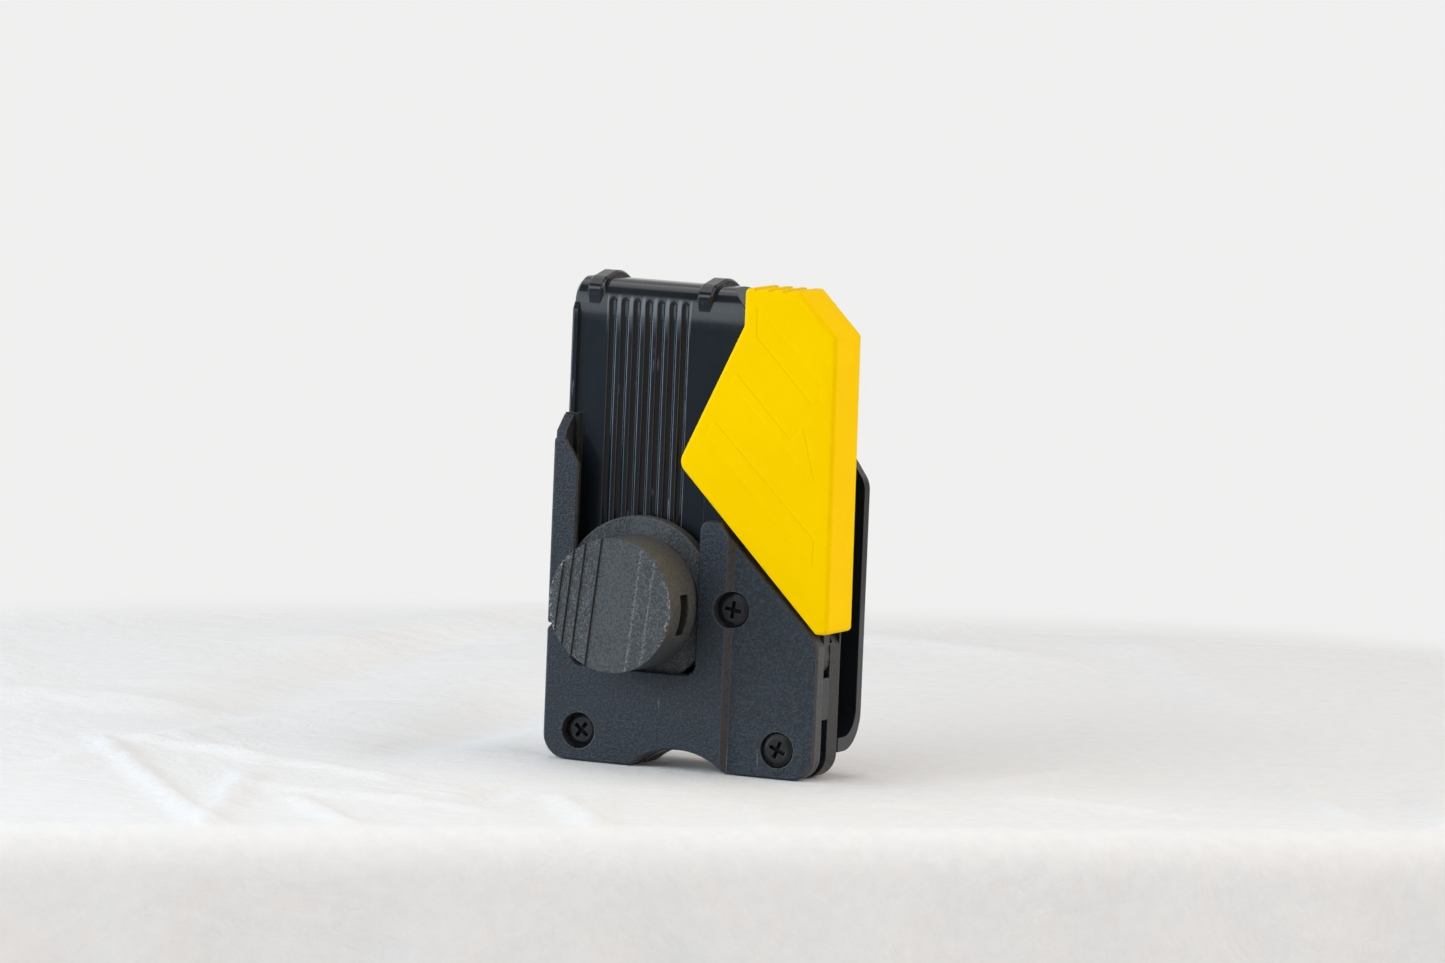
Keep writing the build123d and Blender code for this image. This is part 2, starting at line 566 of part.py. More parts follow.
def lever_arm():
    """Flat hinged arm with its boss, carried up inside the cap, and the spring's peg."""
    boss_left = PIVOT_X - BOSS_RADIUS
    inside = CAP_WALL + BOSS_GAP
    top = CAP_TOP - ARM_TOP_DROP
    top_right = CAP_RIGHT - CAP_LEAN - inside
    corners = [
        (PIVOT_X, ARM_FOOT_Z, 0),
        (ARM_RIGHT, ARM_FOOT_Z, ARM_FOOT_RADIUS),
        (top_right, top - CAP_WALL, SMALL_RADIUS),
        (top_right - 2 * CAP_WALL, top, SMALL_RADIUS),
        (ARM_LEFT, top, CAP_WALL),
        (ARM_LEFT, cap_slope_z(ARM_LEFT, inside), SMALL_RADIUS),
        (boss_left, cap_slope_z(boss_left, inside), SMALL_RADIUS),
        (boss_left, PIVOT_Z, 0),
        (PIVOT_X, PIVOT_Z, 0),
    ]
    arm = slab(corners, ARM_FRONT, ARM_BACK)
    arm += rod(PIVOT_X, PIVOT_Z, 2 * BOSS_RADIUS, ARM_FRONT, ARM_BACK)
    arm += rod(PIVOT_X + PEG_X, PIVOT_Z + PEG_Z, PEG_DIAMETER, ARM_BACK, ARM_BACK + PEG_HEIGHT)
    arm -= rod(PIVOT_X, PIVOT_Z, PIVOT_DIAMETER + 2 * RUNNING_GAP, 0, SHELL_BACK)
    for x, z in CAP_SCREWS.values():
        arm -= facet_rod(x, z, CAP_SCREW_DIAMETER + 2 * SCREW_CLEARANCE, 0, SHELL_BACK)
    return arm


def cap_outline(inset):
    """Outline of the lever's cap, or with sharp corners and moved inwards by inset."""
    corners = [
        (CAP_TOE_X, CAP_BOTTOM, EDGE_BREAK),
        (CAP_RIGHT, CAP_BOTTOM, CAP_CORNER),
        (CAP_RIGHT - CAP_LEAN, CAP_TOP - CAP_CUT_DROP, CAP_CORNER),
        (CAP_CUT_X, CAP_TOP, CAP_CORNER),
        (CAP_BACK_LEFT, CAP_TOP, CAP_CORNER),
        (CAP_BACK_LEFT, CAP_TOP - CAP_WAIST_DROP, CAP_CORNER),
        (CAP_NOSE_X, CAP_NOSE_Z, CAP_NOSE_RADIUS),
    ]
    if not inset:
        return make_face(closed(corners))
    sharp = make_face(Polyline(*[(x, z) for x, z, _ in corners], close=True))
    return offset(sharp, amount=-inset, kind=Kind.INTERSECTION)


def cap_slab(inset, front, back):
    """Solid of the cap's outline between two Y planes."""
    return extrude(Plane.XZ.offset(-front) * cap_outline(inset), amount=front - back)


def lever_cap():
    """Hollow cap: front part over the leaf, full depth on the right, ridged on top."""
    cap = cap_slab(0, CAP_FRONT, CAP_BACK)
    front = cap.faces().sort_by(Axis.Y)[0].edges()
    cap = fillet(front, CAP_EDGE)
    cap -= box(-FAR, CAP_BACK_LEFT, WING_BACK, CAP_BACK + MARGIN, 0, FAR)
    hollow = cap_slab(CAP_WALL, CAP_FRONT + CAP_WALL, CAP_BACK - CAP_WALL)
    hollow -= box(-FAR, CAP_BACK_LEFT + CAP_WALL, WING_BACK - CAP_WALL / 2, CAP_BACK, 0, FAR)
    open_back = cap_slab(CAP_WALL, CAP_FRONT + CAP_WALL, CAP_BACK)
    cap -= hollow
    cap -= open_back & box(-FAR, CAP_BACK_LEFT - CAP_WALL, CAP_FRONT, WING_BACK + MARGIN, 0, FAR)
    for x, z in CAP_SCREWS.values():
        cap += facet_rod(x, z, CAP_BOSS_DIAMETER, CAP_FRONT + CAP_WALL, ARM_FRONT)
        cap += facet_rod(x, z, CAP_BOSS_DIAMETER, ARM_BACK, CAP_BACK - CAP_WALL)
    slot_left = PIVOT_X - BOSS_RADIUS - BOSS_GAP
    slot_top = cap_slope_z(slot_left, CAP_WALL) + MARGIN
    slot = [
        (slot_left, CAP_BOTTOM - MARGIN, 0),
        (CAP_RIGHT - CAP_WALL, CAP_BOTTOM - MARGIN, 0),
        (CAP_RIGHT - CAP_WALL, slot_top, 0),
        (slot_left, slot_top, 0),
    ]
    cap -= slab(slot, ARM_FRONT - SIDE_GAP, CAP_SLOT_BACK)
    for x, z in CAP_SCREWS.values():
        seat = CAP_BACK - CAP_SCREW_HEAD_HEIGHT
        cap -= facet_rod(x, z, CAP_SCREW_DIAMETER, seat - CAP_SCREW_LENGTH, CAP_BACK + MARGIN)
        cap -= rod(x, z, CAP_SCREW_HEAD + SCREW_CLEARANCE, seat, CAP_BACK + MARGIN)
    first = CAP_BACK_LEFT + RIDGE_INSET
    pitch = (CAP_CUT_X - RIDGE_LAST - first) / (RIDGE_COUNT - 1)
    return cap - [ridge_valley(first + i * pitch, pitch) for i in range(RIDGE_COUNT - 1)]


def ridge_valley(left, pitch):
    """What is cut out of the cap's top from the thumb ridge at left, rising gently to the next one."""
    rise = RIDGE_HEIGHT / (pitch - RIDGE_WIDTH)
    corners = [
        (left + RIDGE_WIDTH - RIDGE_LEAN, CAP_TOP + MARGIN, 0),
        (left + RIDGE_WIDTH - RIDGE_LEAN, CAP_TOP, 0),
        (left + RIDGE_WIDTH, CAP_TOP - RIDGE_HEIGHT, 0),
        (left + pitch + MARGIN / rise, CAP_TOP + MARGIN, 0),
    ]
    return slab(corners, CAP_FRONT - MARGIN, CAP_BACK + MARGIN)


def cross_recess(top, length, width, depth):
    """Cross-shaped driver recess sunk along +Y from the plane y = top at x = z = 0."""
    bars = [(length, width), (width, length)]
    tools = [extrude(Plane.XZ.offset(-top) * Rectangle(a, b), amount=-depth, taper=12) for a, b in bars]
    return tools[0] + tools[1]


def cover_screw(name):
    """Pan-head screw from the front, with a cross recess."""
    x, z, turn = COVER_SCREWS[name]
    top = COUNTERBORE_FLOOR - SCREW_HEAD_HEIGHT
    head = rod(0, 0, SCREW_HEAD, top, COUNTERBORE_FLOOR)
    head = chamfer(head.edges().group_by(Axis.Y)[0], SCREW_HEAD_HEIGHT / 4, SCREW_HEAD_HEIGHT / 2)
    head -= cross_recess(top, CROSS_LENGTH, CROSS_WIDTH, CROSS_DEPTH)
    head = Pos(x, 0, z) * Rot(0, turn, 0) * head
    return head + facet_rod(x, z, SCREW_DIAMETER, COUNTERBORE_FLOOR, COUNTERBORE_FLOOR + SCREW_LENGTH)


def screw_insert(name):
    """Threaded brass sleeve pressed into the rear shell."""
    x, z, _ = COVER_SCREWS[name]
    sleeve = facet_rod(x, z, INSERT_DIAMETER, LEAF_BACK, LEAF_BACK + INSERT_LENGTH)
    return sleeve - facet_rod(x, z, SCREW_DIAMETER, LEAF_BACK - MARGIN, SHELL_BACK)


def cap_screw(name):
    """Small screw from the back, through the arm into the cap's front boss."""
    x, z = CAP_SCREWS[name]
    seat = CAP_BACK - CAP_SCREW_HEAD_HEIGHT
    screw = rod(x, z, CAP_SCREW_HEAD, seat, CAP_BACK)
    screw += facet_rod(x, z, CAP_SCREW_DIAMETER, seat - CAP_SCREW_LENGTH, seat)
    scale_down = CAP_SCREW_HEAD / SCREW_HEAD
    recess = cross_recess(0, CROSS_LENGTH * scale_down, CROSS_WIDTH * scale_down, CROSS_DEPTH * scale_down)
    return screw - Pos(x, CAP_BACK, z) * Rot(180, 0, 0) * recess


def pivot_pin():
    """Dowel that the lever turns on."""
    pin = rod(PIVOT_X, PIVOT_Z, PIVOT_DIAMETER, PIVOT_FRONT, PIVOT_FRONT + PIVOT_LENGTH)
    return chamfer(pin.edges().group_by(Axis.Y)[-1], PIVOT_DIAMETER / 10)


def pivot_washer():
    """Thrust washer sunk in the cover behind the lever's boss."""
    front = COVER_THICKNESS - WASHER_THICKNESS
    washer = facet_rod(PIVOT_X, PIVOT_Z, WASHER_DIAMETER, front, COVER_THICKNESS)
    return washer - rod(PIVOT_X, PIVOT_Z, PIVOT_DIAMETER, 0, SHELL_BACK)


def spring_bush():
    """Sleeve on the pivot pin that carries the coil."""
    bush = facet_rod(PIVOT_X, PIVOT_Z, BUSH_DIAMETER, LEAF_BACK, SPRING_BACK)
    return bush - rod(PIVOT_X, PIVOT_Z, PIVOT_DIAMETER, 0, SHELL_BACK)


def spring_point(angle, advance):
    """Point on the coil's axis line at an angle from +X towards +Z, and a distance back."""
    radius = SPRING_DIAMETER / 2
    return Vector(PIVOT_X + radius * cos(angle), SPRING_FRONT_AXIS + advance, PIVOT_Z + radius * sin(angle))


def half_turn(angle, advance):
    """Clockwise half turn of the coil that moves back by half a pitch, tangent to its neighbours."""
    start = spring_point(angle, advance)
    end = spring_point(angle - pi, advance + SPRING_PITCH / 2)
    tangent = Vector(sin(angle), 0, -cos(angle))
    return ThreePointArc(start, (start + end) / 2 + tangent * ((end - start).length / 2), end)


def return_spring():
    """Torsion spring round the bush: foot in the shell, long leg right of the arm's peg."""
    radius = SPRING_DIAMETER / 2
    touch_x = PEG_X + (PEG_DIAMETER + SPRING_WIRE) / 2 + RUNNING_GAP
    reach = hypot(touch_x, PEG_Z)
    start = atan2(PEG_Z, touch_x) - acos(radius / reach)
    leg = sqrt(reach**2 - radius**2) + SPRING_OVERHANG
    first = spring_point(start, 0)
    up = Vector(-sin(start), 0, cos(start))
    path = [Line(first + up * leg, first)]
    path += [half_turn(start - i * pi, i * SPRING_PITCH / 2) for i in range(2 * SPRING_TURNS)]
    back = SPRING_TURNS * SPRING_PITCH
    middle = (start - pi / 2) / 2
    foot = spring_point(-pi / 2, back)
    path += [ThreePointArc(spring_point(start, back), spring_point(middle, back), foot)]
    path += [Line(foot, foot - Vector(SPRING_FOOT, 0, 0))]
    wire = Wire(path)
    section = Plane(first + up * leg, z_dir=-up) * RegularPolygon(SPRING_WIRE / 2, SPRING_WIRE_SIDES)
    coil = sweep(section, path=wire)
    print("spring: length", round(wire.length, 1), "volume over section",
          round(coil.volume / section.area, 1), "gap between turns",
          round(SPRING_PITCH * (1 - (start + pi / 2) / (2 * pi)) - SPRING_WIRE, 2))
    return coil


def pin_flange():
    """Round flange that slides and hangs in the pocket, countersunk from the back."""
    flange = rod(PIN_X, PIN_Z, FLANGE_DIAMETER, FLANGE_FRONT, FLANGE_BACK)
    flange = chamfer(flange.edges(), EDGE_BREAK / 2)
    return flange - bolt_body(RUNNING_GAP)


def bolt_body(gap):
    """Countersunk bolt through flange and drum, widened by gap."""
    profile = Polyline(
        (0, FLANGE_BACK),
        (BOLT_HEAD / 2 + gap, FLANGE_BACK),
        (BOLT_DIAMETER / 2 + gap, FLANGE_BACK - BOLT_HEAD_HEIGHT),
        (BOLT_DIAMETER / 2 + gap, FLANGE_BACK - BOLT_LENGTH),
        (0, FLANGE_BACK - BOLT_LENGTH),
        close=True,
    )
    return Pos(PIN_X, 0, PIN_Z) * revolve(make_face(profile), Axis.Y)


def dish_tread(k):
    """One tread of the drum's concave front, left by printing it in layers."""
    half = DRUM_DIAMETER / 2 * sqrt(DISH_CURVE / 2 + DISH_CURVE * k)
    depth = DISH_TREAD_DEPTH * (DISH_TREADS - k)
    cut = box(DISH_OFFSET - half, DISH_OFFSET + half, -MARGIN, depth, -DRUM_DIAMETER, DRUM_DIAMETER)
    return Pos(PIN_X, DRUM_FRONT, PIN_Z) * Rot(0, PIN_ANGLE, 0) * cut


def pin_drum():
    """Round drum with a stepped dish in front and a side slot for its nut."""
    drum = rod(PIN_X, PIN_Z, DRUM_DIAMETER, DRUM_FRONT, DRUM_BACK)
    drum = chamfer(drum.edges(), EDGE_BREAK / 2)
    drum -= [dish_tread(k) for k in range(DISH_TREADS)]
    drum -= rod(PIN_X, PIN_Z, BOLT_DIAMETER, FLANGE_BACK - BOLT_LENGTH, FLANGE_BACK)
    half = NUT_FLATS / 2 + NUT_GAP
    front = NUT_BACK - NUT_THICKNESS - NUT_GAP
    back = NUT_BACK + NUT_GAP
    slot = box(0, DRUM_DIAMETER, front, back, -half, half)
    slot += box(NUT_FLATS, DRUM_DIAMETER, front, back, -NUT_SLOT_HEIGHT / 2, NUT_SLOT_HEIGHT / 2)
    slot += Pos(0, (front + back) / 2, 0) * Rot(90, 0, 0) * nut_prism(2 * half, back - front)
    return drum - Pos(PIN_X, 0, PIN_Z) * Rot(0, PIN_ANGLE, 0) * slot


def nut_prism(flats, height):
    """Hexagonal prism with two flats level, centred at the origin along Z."""
    return extrude(RegularPolygon(flats / 2, 6, major_radius=False), amount=height / 2, both=True)


def pin_nut():
    """Captive nut in the drum's side slot."""
    nut = Rot(90, 0, 0) * nut_prism(NUT_FLATS, NUT_THICKNESS)
    nut = Pos(PIN_X, NUT_BACK - NUT_THICKNESS / 2, PIN_Z) * Rot(0, PIN_ANGLE, 0) * nut
    return nut - rod(PIN_X, PIN_Z, BOLT_DIAMETER, DRUM_FRONT, FLANGE_BACK)


def pin_bolt():
    """Countersunk bolt that holds flange and drum together."""
    bolt = bolt_body(0)
    socket = Pos(PIN_X, FLANGE_BACK, PIN_Z) * Rot(90, 0, 0) * nut_prism(BOLT_DIAMETER * 0.6, BOLT_HEAD_HEIGHT)
    return bolt - socket


def parts():
    """All sub-parts by name."""
    made = {
        "front_plate": front_plate(),
        "guide_clip": guide_clip(),
        "rear_shell": rear_shell(),
        "lever_arm": lever_arm(),
        "lever_cap": lever_cap(),
        "pivot_pin": pivot_pin(),
        "pivot_washer": pivot_washer(),
        "spring_bush": spring_bush(),
        "return_spring": return_spring(),
        "pin_flange": pin_flange(),
        "pin_drum": pin_drum(),
        "pin_nut": pin_nut(),
        "pin_bolt": pin_bolt(),
    }
    for name in COVER_SCREWS:
        made["cover_screw_" + name] = cover_screw(name)
        made["screw_insert_" + name] = screw_insert(name)
    for name in CAP_SCREWS:
        made["cap_screw_" + name] = cap_screw(name)
    return made


os.makedirs("parts", exist_ok=True)
for node, solid in parts().items():
    placed = Pos(*ORIGIN_SHIFT) * solid
    export_step(placed, "parts/" + node + ".step")

print("lever pivot", [round(a + b, 3) for a, b in zip((PIVOT_X, ARM_FRONT, PIVOT_Z), ORIGIN_SHIFT)])
print("pin axis", [round(a + b, 3) for a, b in zip((PIN_X, FLANGE_FRONT, PIN_Z), ORIGIN_SHIFT)])
print("origin shift", [round(a, 3) for a in ORIGIN_SHIFT])
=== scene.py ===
"""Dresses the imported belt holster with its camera, light, floor and surface finishes."""
import math

import bpy
import numpy as np
from mathutils import Matrix, Vector

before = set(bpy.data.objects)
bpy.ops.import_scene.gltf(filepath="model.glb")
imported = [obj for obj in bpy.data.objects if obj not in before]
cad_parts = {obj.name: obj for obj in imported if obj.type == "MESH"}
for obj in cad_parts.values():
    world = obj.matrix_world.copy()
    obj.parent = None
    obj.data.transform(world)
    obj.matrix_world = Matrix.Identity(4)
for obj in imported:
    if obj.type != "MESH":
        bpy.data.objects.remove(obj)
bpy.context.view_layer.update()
MM = 0.001
scene = bpy.context.scene
scene.view_settings.view_transform = "Standard"


# ---------------------------------------------------------------- camera
IMAGE_WIDTH, IMAGE_HEIGHT = 1445, 963
SENSOR_WIDTH = 36.0
FOCAL_PIXELS = 10499.87
CAMERA_DISTANCE = 2338.5 * MM
CAMERA_TURN, CAMERA_DROP, CAMERA_ROLL = 25.5, 5.65, 2.32    # degrees
CLIP_START, CLIP_END = 0.01, 50.0
# The camera was fitted in the part's drawing. AIM is in its millimetres, and shows at AIM_PIXEL.
AIM = Vector((0.3, 0, 0))
AIM_PIXEL = (676.0, 770.0)
DRAWING_ORIGIN = Vector((-1.4, -7.025, 0.0))    # millimetres in the frame


def camera_axes():
    turn, drop, roll = (math.radians(angle) for angle in (CAMERA_TURN, CAMERA_DROP, CAMERA_ROLL))
    right = Vector((math.cos(turn), math.sin(turn), 0))
    up = Vector((-math.sin(turn) * math.sin(drop), math.cos(turn) * math.sin(drop), math.cos(drop)))
    ahead = Vector((-math.sin(turn) * math.cos(drop), math.cos(turn) * math.cos(drop), -math.sin(drop)))
    across = right * math.cos(roll) + up * math.sin(roll)
    upward = up * math.cos(roll) - right * math.sin(roll)
    return across, upward, ahead


def pixel_slopes(pixel):
    """How far the ray through a pixel goes sideways and up for each metre ahead."""
    return (pixel[0] - IMAGE_WIDTH / 2) / FOCAL_PIXELS, (IMAGE_HEIGHT / 2 - pixel[1]) / FOCAL_PIXELS


def camera_place():
    across, upward, ahead = camera_axes()
    side, rise = (slope * CAMERA_DISTANCE for slope in pixel_slopes(AIM_PIXEL))
    return (AIM + DRAWING_ORIGIN) * MM - ahead * CAMERA_DISTANCE - across * side - upward * rise


def add_camera():
    across, upward, ahead = camera_axes()
    data = bpy.data.cameras.new("camera")
    data.sensor_fit = "HORIZONTAL"
    data.sensor_width = SENSOR_WIDTH
    data.lens = FOCAL_PIXELS / IMAGE_WIDTH * SENSOR_WIDTH
    data.clip_start, data.clip_end = CLIP_START, CLIP_END
    camera = bpy.data.objects.new("camera", data)
    scene.collection.objects.link(camera)
    turn = Matrix((across, upward, -ahead)).transposed().to_4x4()
    camera.matrix_world = Matrix.Translation(camera_place()) @ turn
    scene.camera = camera


add_camera()


# ---------------------------------------------------------------- light
LAMP_TARGET = Vector((0, 0, 0.055))
# Name, bearing in degrees from -Y towards -X, height in degrees above the table, distance, size in
# metres, radiance and colour.
LAMPS = (
    ("front_window", 22, 24, 1.25, (0.95, 0.70), 3.7, (0.88, 0.95, 1.0)),
    ("left_window", 64, 8, 1.25, (0.60, 0.80), 5.6, (0.78, 0.89, 1.0)),
    ("right_front", -80, 36, 1.30, (1.25, 0.90), 1.9, (1.0, 0.94, 0.88)),
    ("right_window", -122, 10, 1.30, (1.25, 0.85), 1.8, (1.0, 0.95, 0.90)),
    ("overhead", 130, 72, 1.40, (1.1, 0.9), 1.95, (1.0, 0.985, 0.955)),
)


def add_lamp(name, bearing, height, distance, size, radiance, colour):
    turn, climb = math.radians(bearing), math.radians(height)
    toward = Vector((-math.sin(turn) * math.cos(climb), -math.cos(turn) * math.cos(climb), math.sin(climb)))
    data = bpy.data.lights.new(name, "AREA")
    data.shape = "RECTANGLE"
    data.size, data.size_y = size
    data.energy = radiance * math.pi * size[0] * size[1]
    data.color = colour
    lamp = bpy.data.objects.new(name, data)
    scene.collection.objects.link(lamp)
    lamp.location = LAMP_TARGET + toward * distance
    lamp.rotation_euler = toward.to_track_quat("Z", "Y").to_euler()


for lamp_row in LAMPS:
    add_lamp(*lamp_row)


# ---------------------------------------------------------------- shader trees
# The Mix node's colour sockets, which share their names with its other sockets.
MIX_FIRST, MIX_SECOND, MIX_RESULT = 6, 7, 2
BEVEL_SAMPLES = 6
# How far an outer edge turns the normal away from the flat, as one minus the cosine.
EDGE_TURN = (0.01, 0.14)


class Graph:
    """Short names for building one shader tree."""

    def __init__(self, tree):
        self.tree = tree

    def add(self, kind, **settings):
        node = self.tree.nodes.new("ShaderNode" + kind)
        for name, value in settings.items():
            setattr(node, name, value)
        return node

    def put(self, socket, value):
        if isinstance(value, bpy.types.NodeSocket):
            self.tree.links.new(value, socket)
        elif isinstance(value, tuple) and len(value) == 3 and socket.type == "RGBA":
            socket.default_value = (*value, 1)
        else:
            socket.default_value = value

    def where(self):
        """Place in the object, in metres."""
        return self.add("TexCoord").outputs["Object"]

    def axes(self, vector):
        node = self.add("SeparateXYZ")
        self.put(node.inputs[0], vector)
        return node.outputs

    def mapped(self, vector, scale=(1, 1, 1), turn=(0, 0, 0)):
        node = self.add("Mapping")
        self.put(node.inputs["Vector"], vector)
        node.inputs["Scale"].default_value = scale
        node.inputs["Rotation"].default_value = tuple(math.radians(angle) for angle in turn)
        return node.outputs["Vector"]

    def noise(self, scale, vector, detail=2.0, rough=0.5, distortion=0.0):
        node = self.add("TexNoise")
        self.put(node.inputs["Vector"], vector)
        node.inputs["Scale"].default_value = scale
        node.inputs["Detail"].default_value = detail
        node.inputs["Roughness"].default_value = rough
        node.inputs["Distortion"].default_value = distortion
        return node.outputs["Fac"]

    def cells(self, scale, vector):
        """Distance from the nearest of many scattered points."""
        node = self.add("TexVoronoi", feature="F1")
        self.put(node.inputs["Vector"], vector)
        node.inputs["Scale"].default_value = scale
        return node.outputs["Distance"]

    def wave(self, scale, vector, along, distortion, detail):
        node = self.add("TexWave", bands_direction=along)
        self.put(node.inputs["Vector"], vector)
        node.inputs["Scale"].default_value = scale
        node.inputs["Distortion"].default_value = distortion
        node.inputs["Detail"].default_value = detail
        return node.outputs["Fac"]

    def math(self, operation, first, second=0.0):
        node = self.add("Math", operation=operation)
        self.put(node.inputs[0], first)
        self.put(node.inputs[1], second)
        return node.outputs[0]

    def times(self, first, *others):
        for other in others:
            first = self.math("MULTIPLY", first, other)
        return first

    def besides(self, mask):
        """1 where the mask is 0, and 0 where it is 1."""
        return self.math("SUBTRACT", 1.0, mask)

    def away(self, value, middle):
        """Distance of a value from a middle value."""
        return self.math("ABSOLUTE", self.math("SUBTRACT", value, middle))

    def radius(self, first, second):
        squares = self.math("ADD", self.times(first, first), self.times(second, second))
        return self.math("SQRT", squares)

    def fit(self, value, low, high, to_low=0.0, to_high=1.0):
        """Smooth step from to_low, where the value is low, to to_high, where it is high."""
        node = self.add("MapRange", interpolation_type="SMOOTHSTEP")
        self.put(node.inputs["Value"], value)
        self.put(node.inputs["From Min"], low)
        self.put(node.inputs["From Max"], high)
        self.put(node.inputs["To Min"], to_low)
        self.put(node.inputs["To Max"], to_high)
        return node.outputs["Result"]

    def blend(self, factor, first, second):
        node = self.add("Mix", data_type="RGBA")
        self.put(node.inputs["Factor"], factor)
        self.put(node.inputs[MIX_FIRST], first)
        self.put(node.inputs[MIX_SECOND], second)
        return node.outputs[MIX_RESULT]

    def bump(self, height, depth, normal=None):
        node = self.add("Bump")
        self.put(node.inputs["Height"], height)
        node.inputs["Distance"].default_value = depth
        node.inputs["Strength"].default_value = 1.0
        if normal:
            self.put(node.inputs["Normal"], normal)
        return node.outputs["Normal"]

    def soft_edges(self, radius):
        node = self.add("Bevel", samples=BEVEL_SAMPLES)
        node.inputs["Radius"].default_value = radius
        return node.outputs["Normal"]

    def dot(self, vector, direction):
        node = self.add("VectorMath", operation="DOT_PRODUCT")
        self.put(node.inputs[0], vector)
        self.put(node.inputs[1], direction)
        return node.outputs["Value"]

    def edge_mask(self, radius):
        """1 on the crests of outer edges and 0 on flat ground."""
        cosine = self.dot(self.soft_edges(radius), self.add("NewGeometry").outputs["Normal"])
        return self.fit(self.besides(cosine), *EDGE_TURN)

    def facing(self, direction):
        """Cosine between the surface's own normal and a direction, both in the object."""
        return self.dot(self.add("TexCoord").outputs["Normal"], direction)

    def along(self, direction, centre=(0, 0, 0)):
        """Distance in millimetres from a centre, along a direction."""
        place = self.dot(self.where(), tuple(part / MM for part in direction))
        return self.math("SUBTRACT", place, sum(part * at for part, at in zip(direction, centre)))

    def polygon(self, corners, soft):
        """1 inside a convex outline of (x, z) points in millimetres given clockwise from the front."""
        inside = 1.0
        for (x1, z1), (x2, z2) in zip(corners, corners[1:] + corners[:1]):
            length = math.hypot(x2 - x1, z2 - z1)
            normal = ((z2 - z1) / length, 0, (x1 - x2) / length)
            depth = self.along(normal, (x1, 0, z1))
            inside = self.math("MINIMUM", inside, self.fit(depth, -soft, soft))
        return inside


def surface(name, metallic=0.0, ior=1.5):
    """A new material, the graph of its tree and the inputs of its shader."""
    material = bpy.data.materials.new(name)
    material.use_nodes = True
    shader = material.node_tree.nodes["Principled BSDF"]
    shader.inputs["Metallic"].default_value = metallic
    shader.inputs["IOR"].default_value = ior
    return material, Graph(material.node_tree), shader.inputs


def scaled(colour, factor):
    return tuple(part * factor for part in colour)


# ---------------------------------------------------------------- room
BACKDROP = (0.870, 0.870, 0.866)
WALL_LEFT, WALL_RIGHT = (0.27, 0.34, 0.42), (0.46, 0.40, 0.345)
BELOW = (0.72, 0.725, 0.73)
CEILING = (0.20, 0.185, 0.17)


def paint_world():
    """Dim room, cool on the left and warm on the right, with the pale backdrop behind the object."""
    world = bpy.data.worlds.new("room")
    world.use_nodes = True
    scene.world = world
    graph = Graph(world.node_tree)
    where = graph.add("TexCoord").outputs["Generated"]
    direction = graph.axes(where)
    walls = graph.blend(graph.fit(direction["X"], -0.45, 0.5), WALL_LEFT, WALL_RIGHT)
    low = graph.blend(graph.fit(direction["Z"], -0.42, -0.22), BELOW, walls)
    room = graph.blend(graph.fit(direction["Z"], 0.30, 0.65), low, CEILING)
    # Metal and gloss see the backdrop behind the object, and more of it higher up.
    ahead = graph.dot(where, camera_axes()[2])
    behind_high = graph.times(graph.fit(ahead, 0.15, 0.45), graph.fit(direction["Z"], 0.12, 0.40))
    behind = graph.math("MAXIMUM", graph.fit(ahead, 0.62, 0.82), behind_high)
    path = graph.add("LightPath").outputs
    seen = graph.math("MAXIMUM", path["Is Camera Ray"], path["Is Transmission Ray"])
    seen = graph.math("MAXIMUM", seen, graph.times(path["Is Glossy Ray"], behind))
    background = world.node_tree.nodes["Background"].inputs
    graph.put(background["Color"], graph.blend(seen, room, BACKDROP))
    background["Strength"].default_value = 1.0


paint_world()


# ---------------------------------------------------------------- floor
# Where the cloth's back edge and the table's front edge show, in the photograph's pixels.
BACK_EDGE = ((-1700, 640), (0, 597), (150, 592), (350, 592), (700, 598), (1000, 606), (1150, 612),
             (1300, 622), (1445, 636), (3150, 860))
FRONT_EDGE = ((-1700, 800), (0, 822), (1445, 829), (3150, 845))
COLUMN_STEP = 12.0    # pixels
# Lengths of the cloth's mesh, in metres.
ROW_STEP = 0.0028
EDGE_BEND = 0.010
DRAPE = 0.12
FADE_WIDTH = 0.05
FLOOR_DROP = 0.0002
# The bend over the table's edge: the first row's turn, in radians, and the number of rows.
BEND_START, BEND_ROWS = 0.15, 8
# Waves of the hanging cloth: size in metres, length in pixels and phase in radians. They grow in
# over SWAY_GROWTH metres of drop.
SWAYS = ((0.003, 61.0, 0.0), (0.002, 23.0, 1.0))
SWAY_GROWTH = 0.06
# The cloth is flat this near to the object, and its folds grow in beyond.
CLEAR_RADIUS = 0.041
CLEAR_GROWTH = 0.030
# Small creases at random: how many, and the ranges of their middle, half length, height and width.
CREASE_SEED = 11
CREASES = 50
CREASE_X, CREASE_Y = (-0.35, 0.35), (-0.15, 0.40)
CREASE_HALF, CREASE_RISE, CREASE_WIDTH = (0.01, 0.05), (-0.0004, 0.0006), (0.002, 0.008)
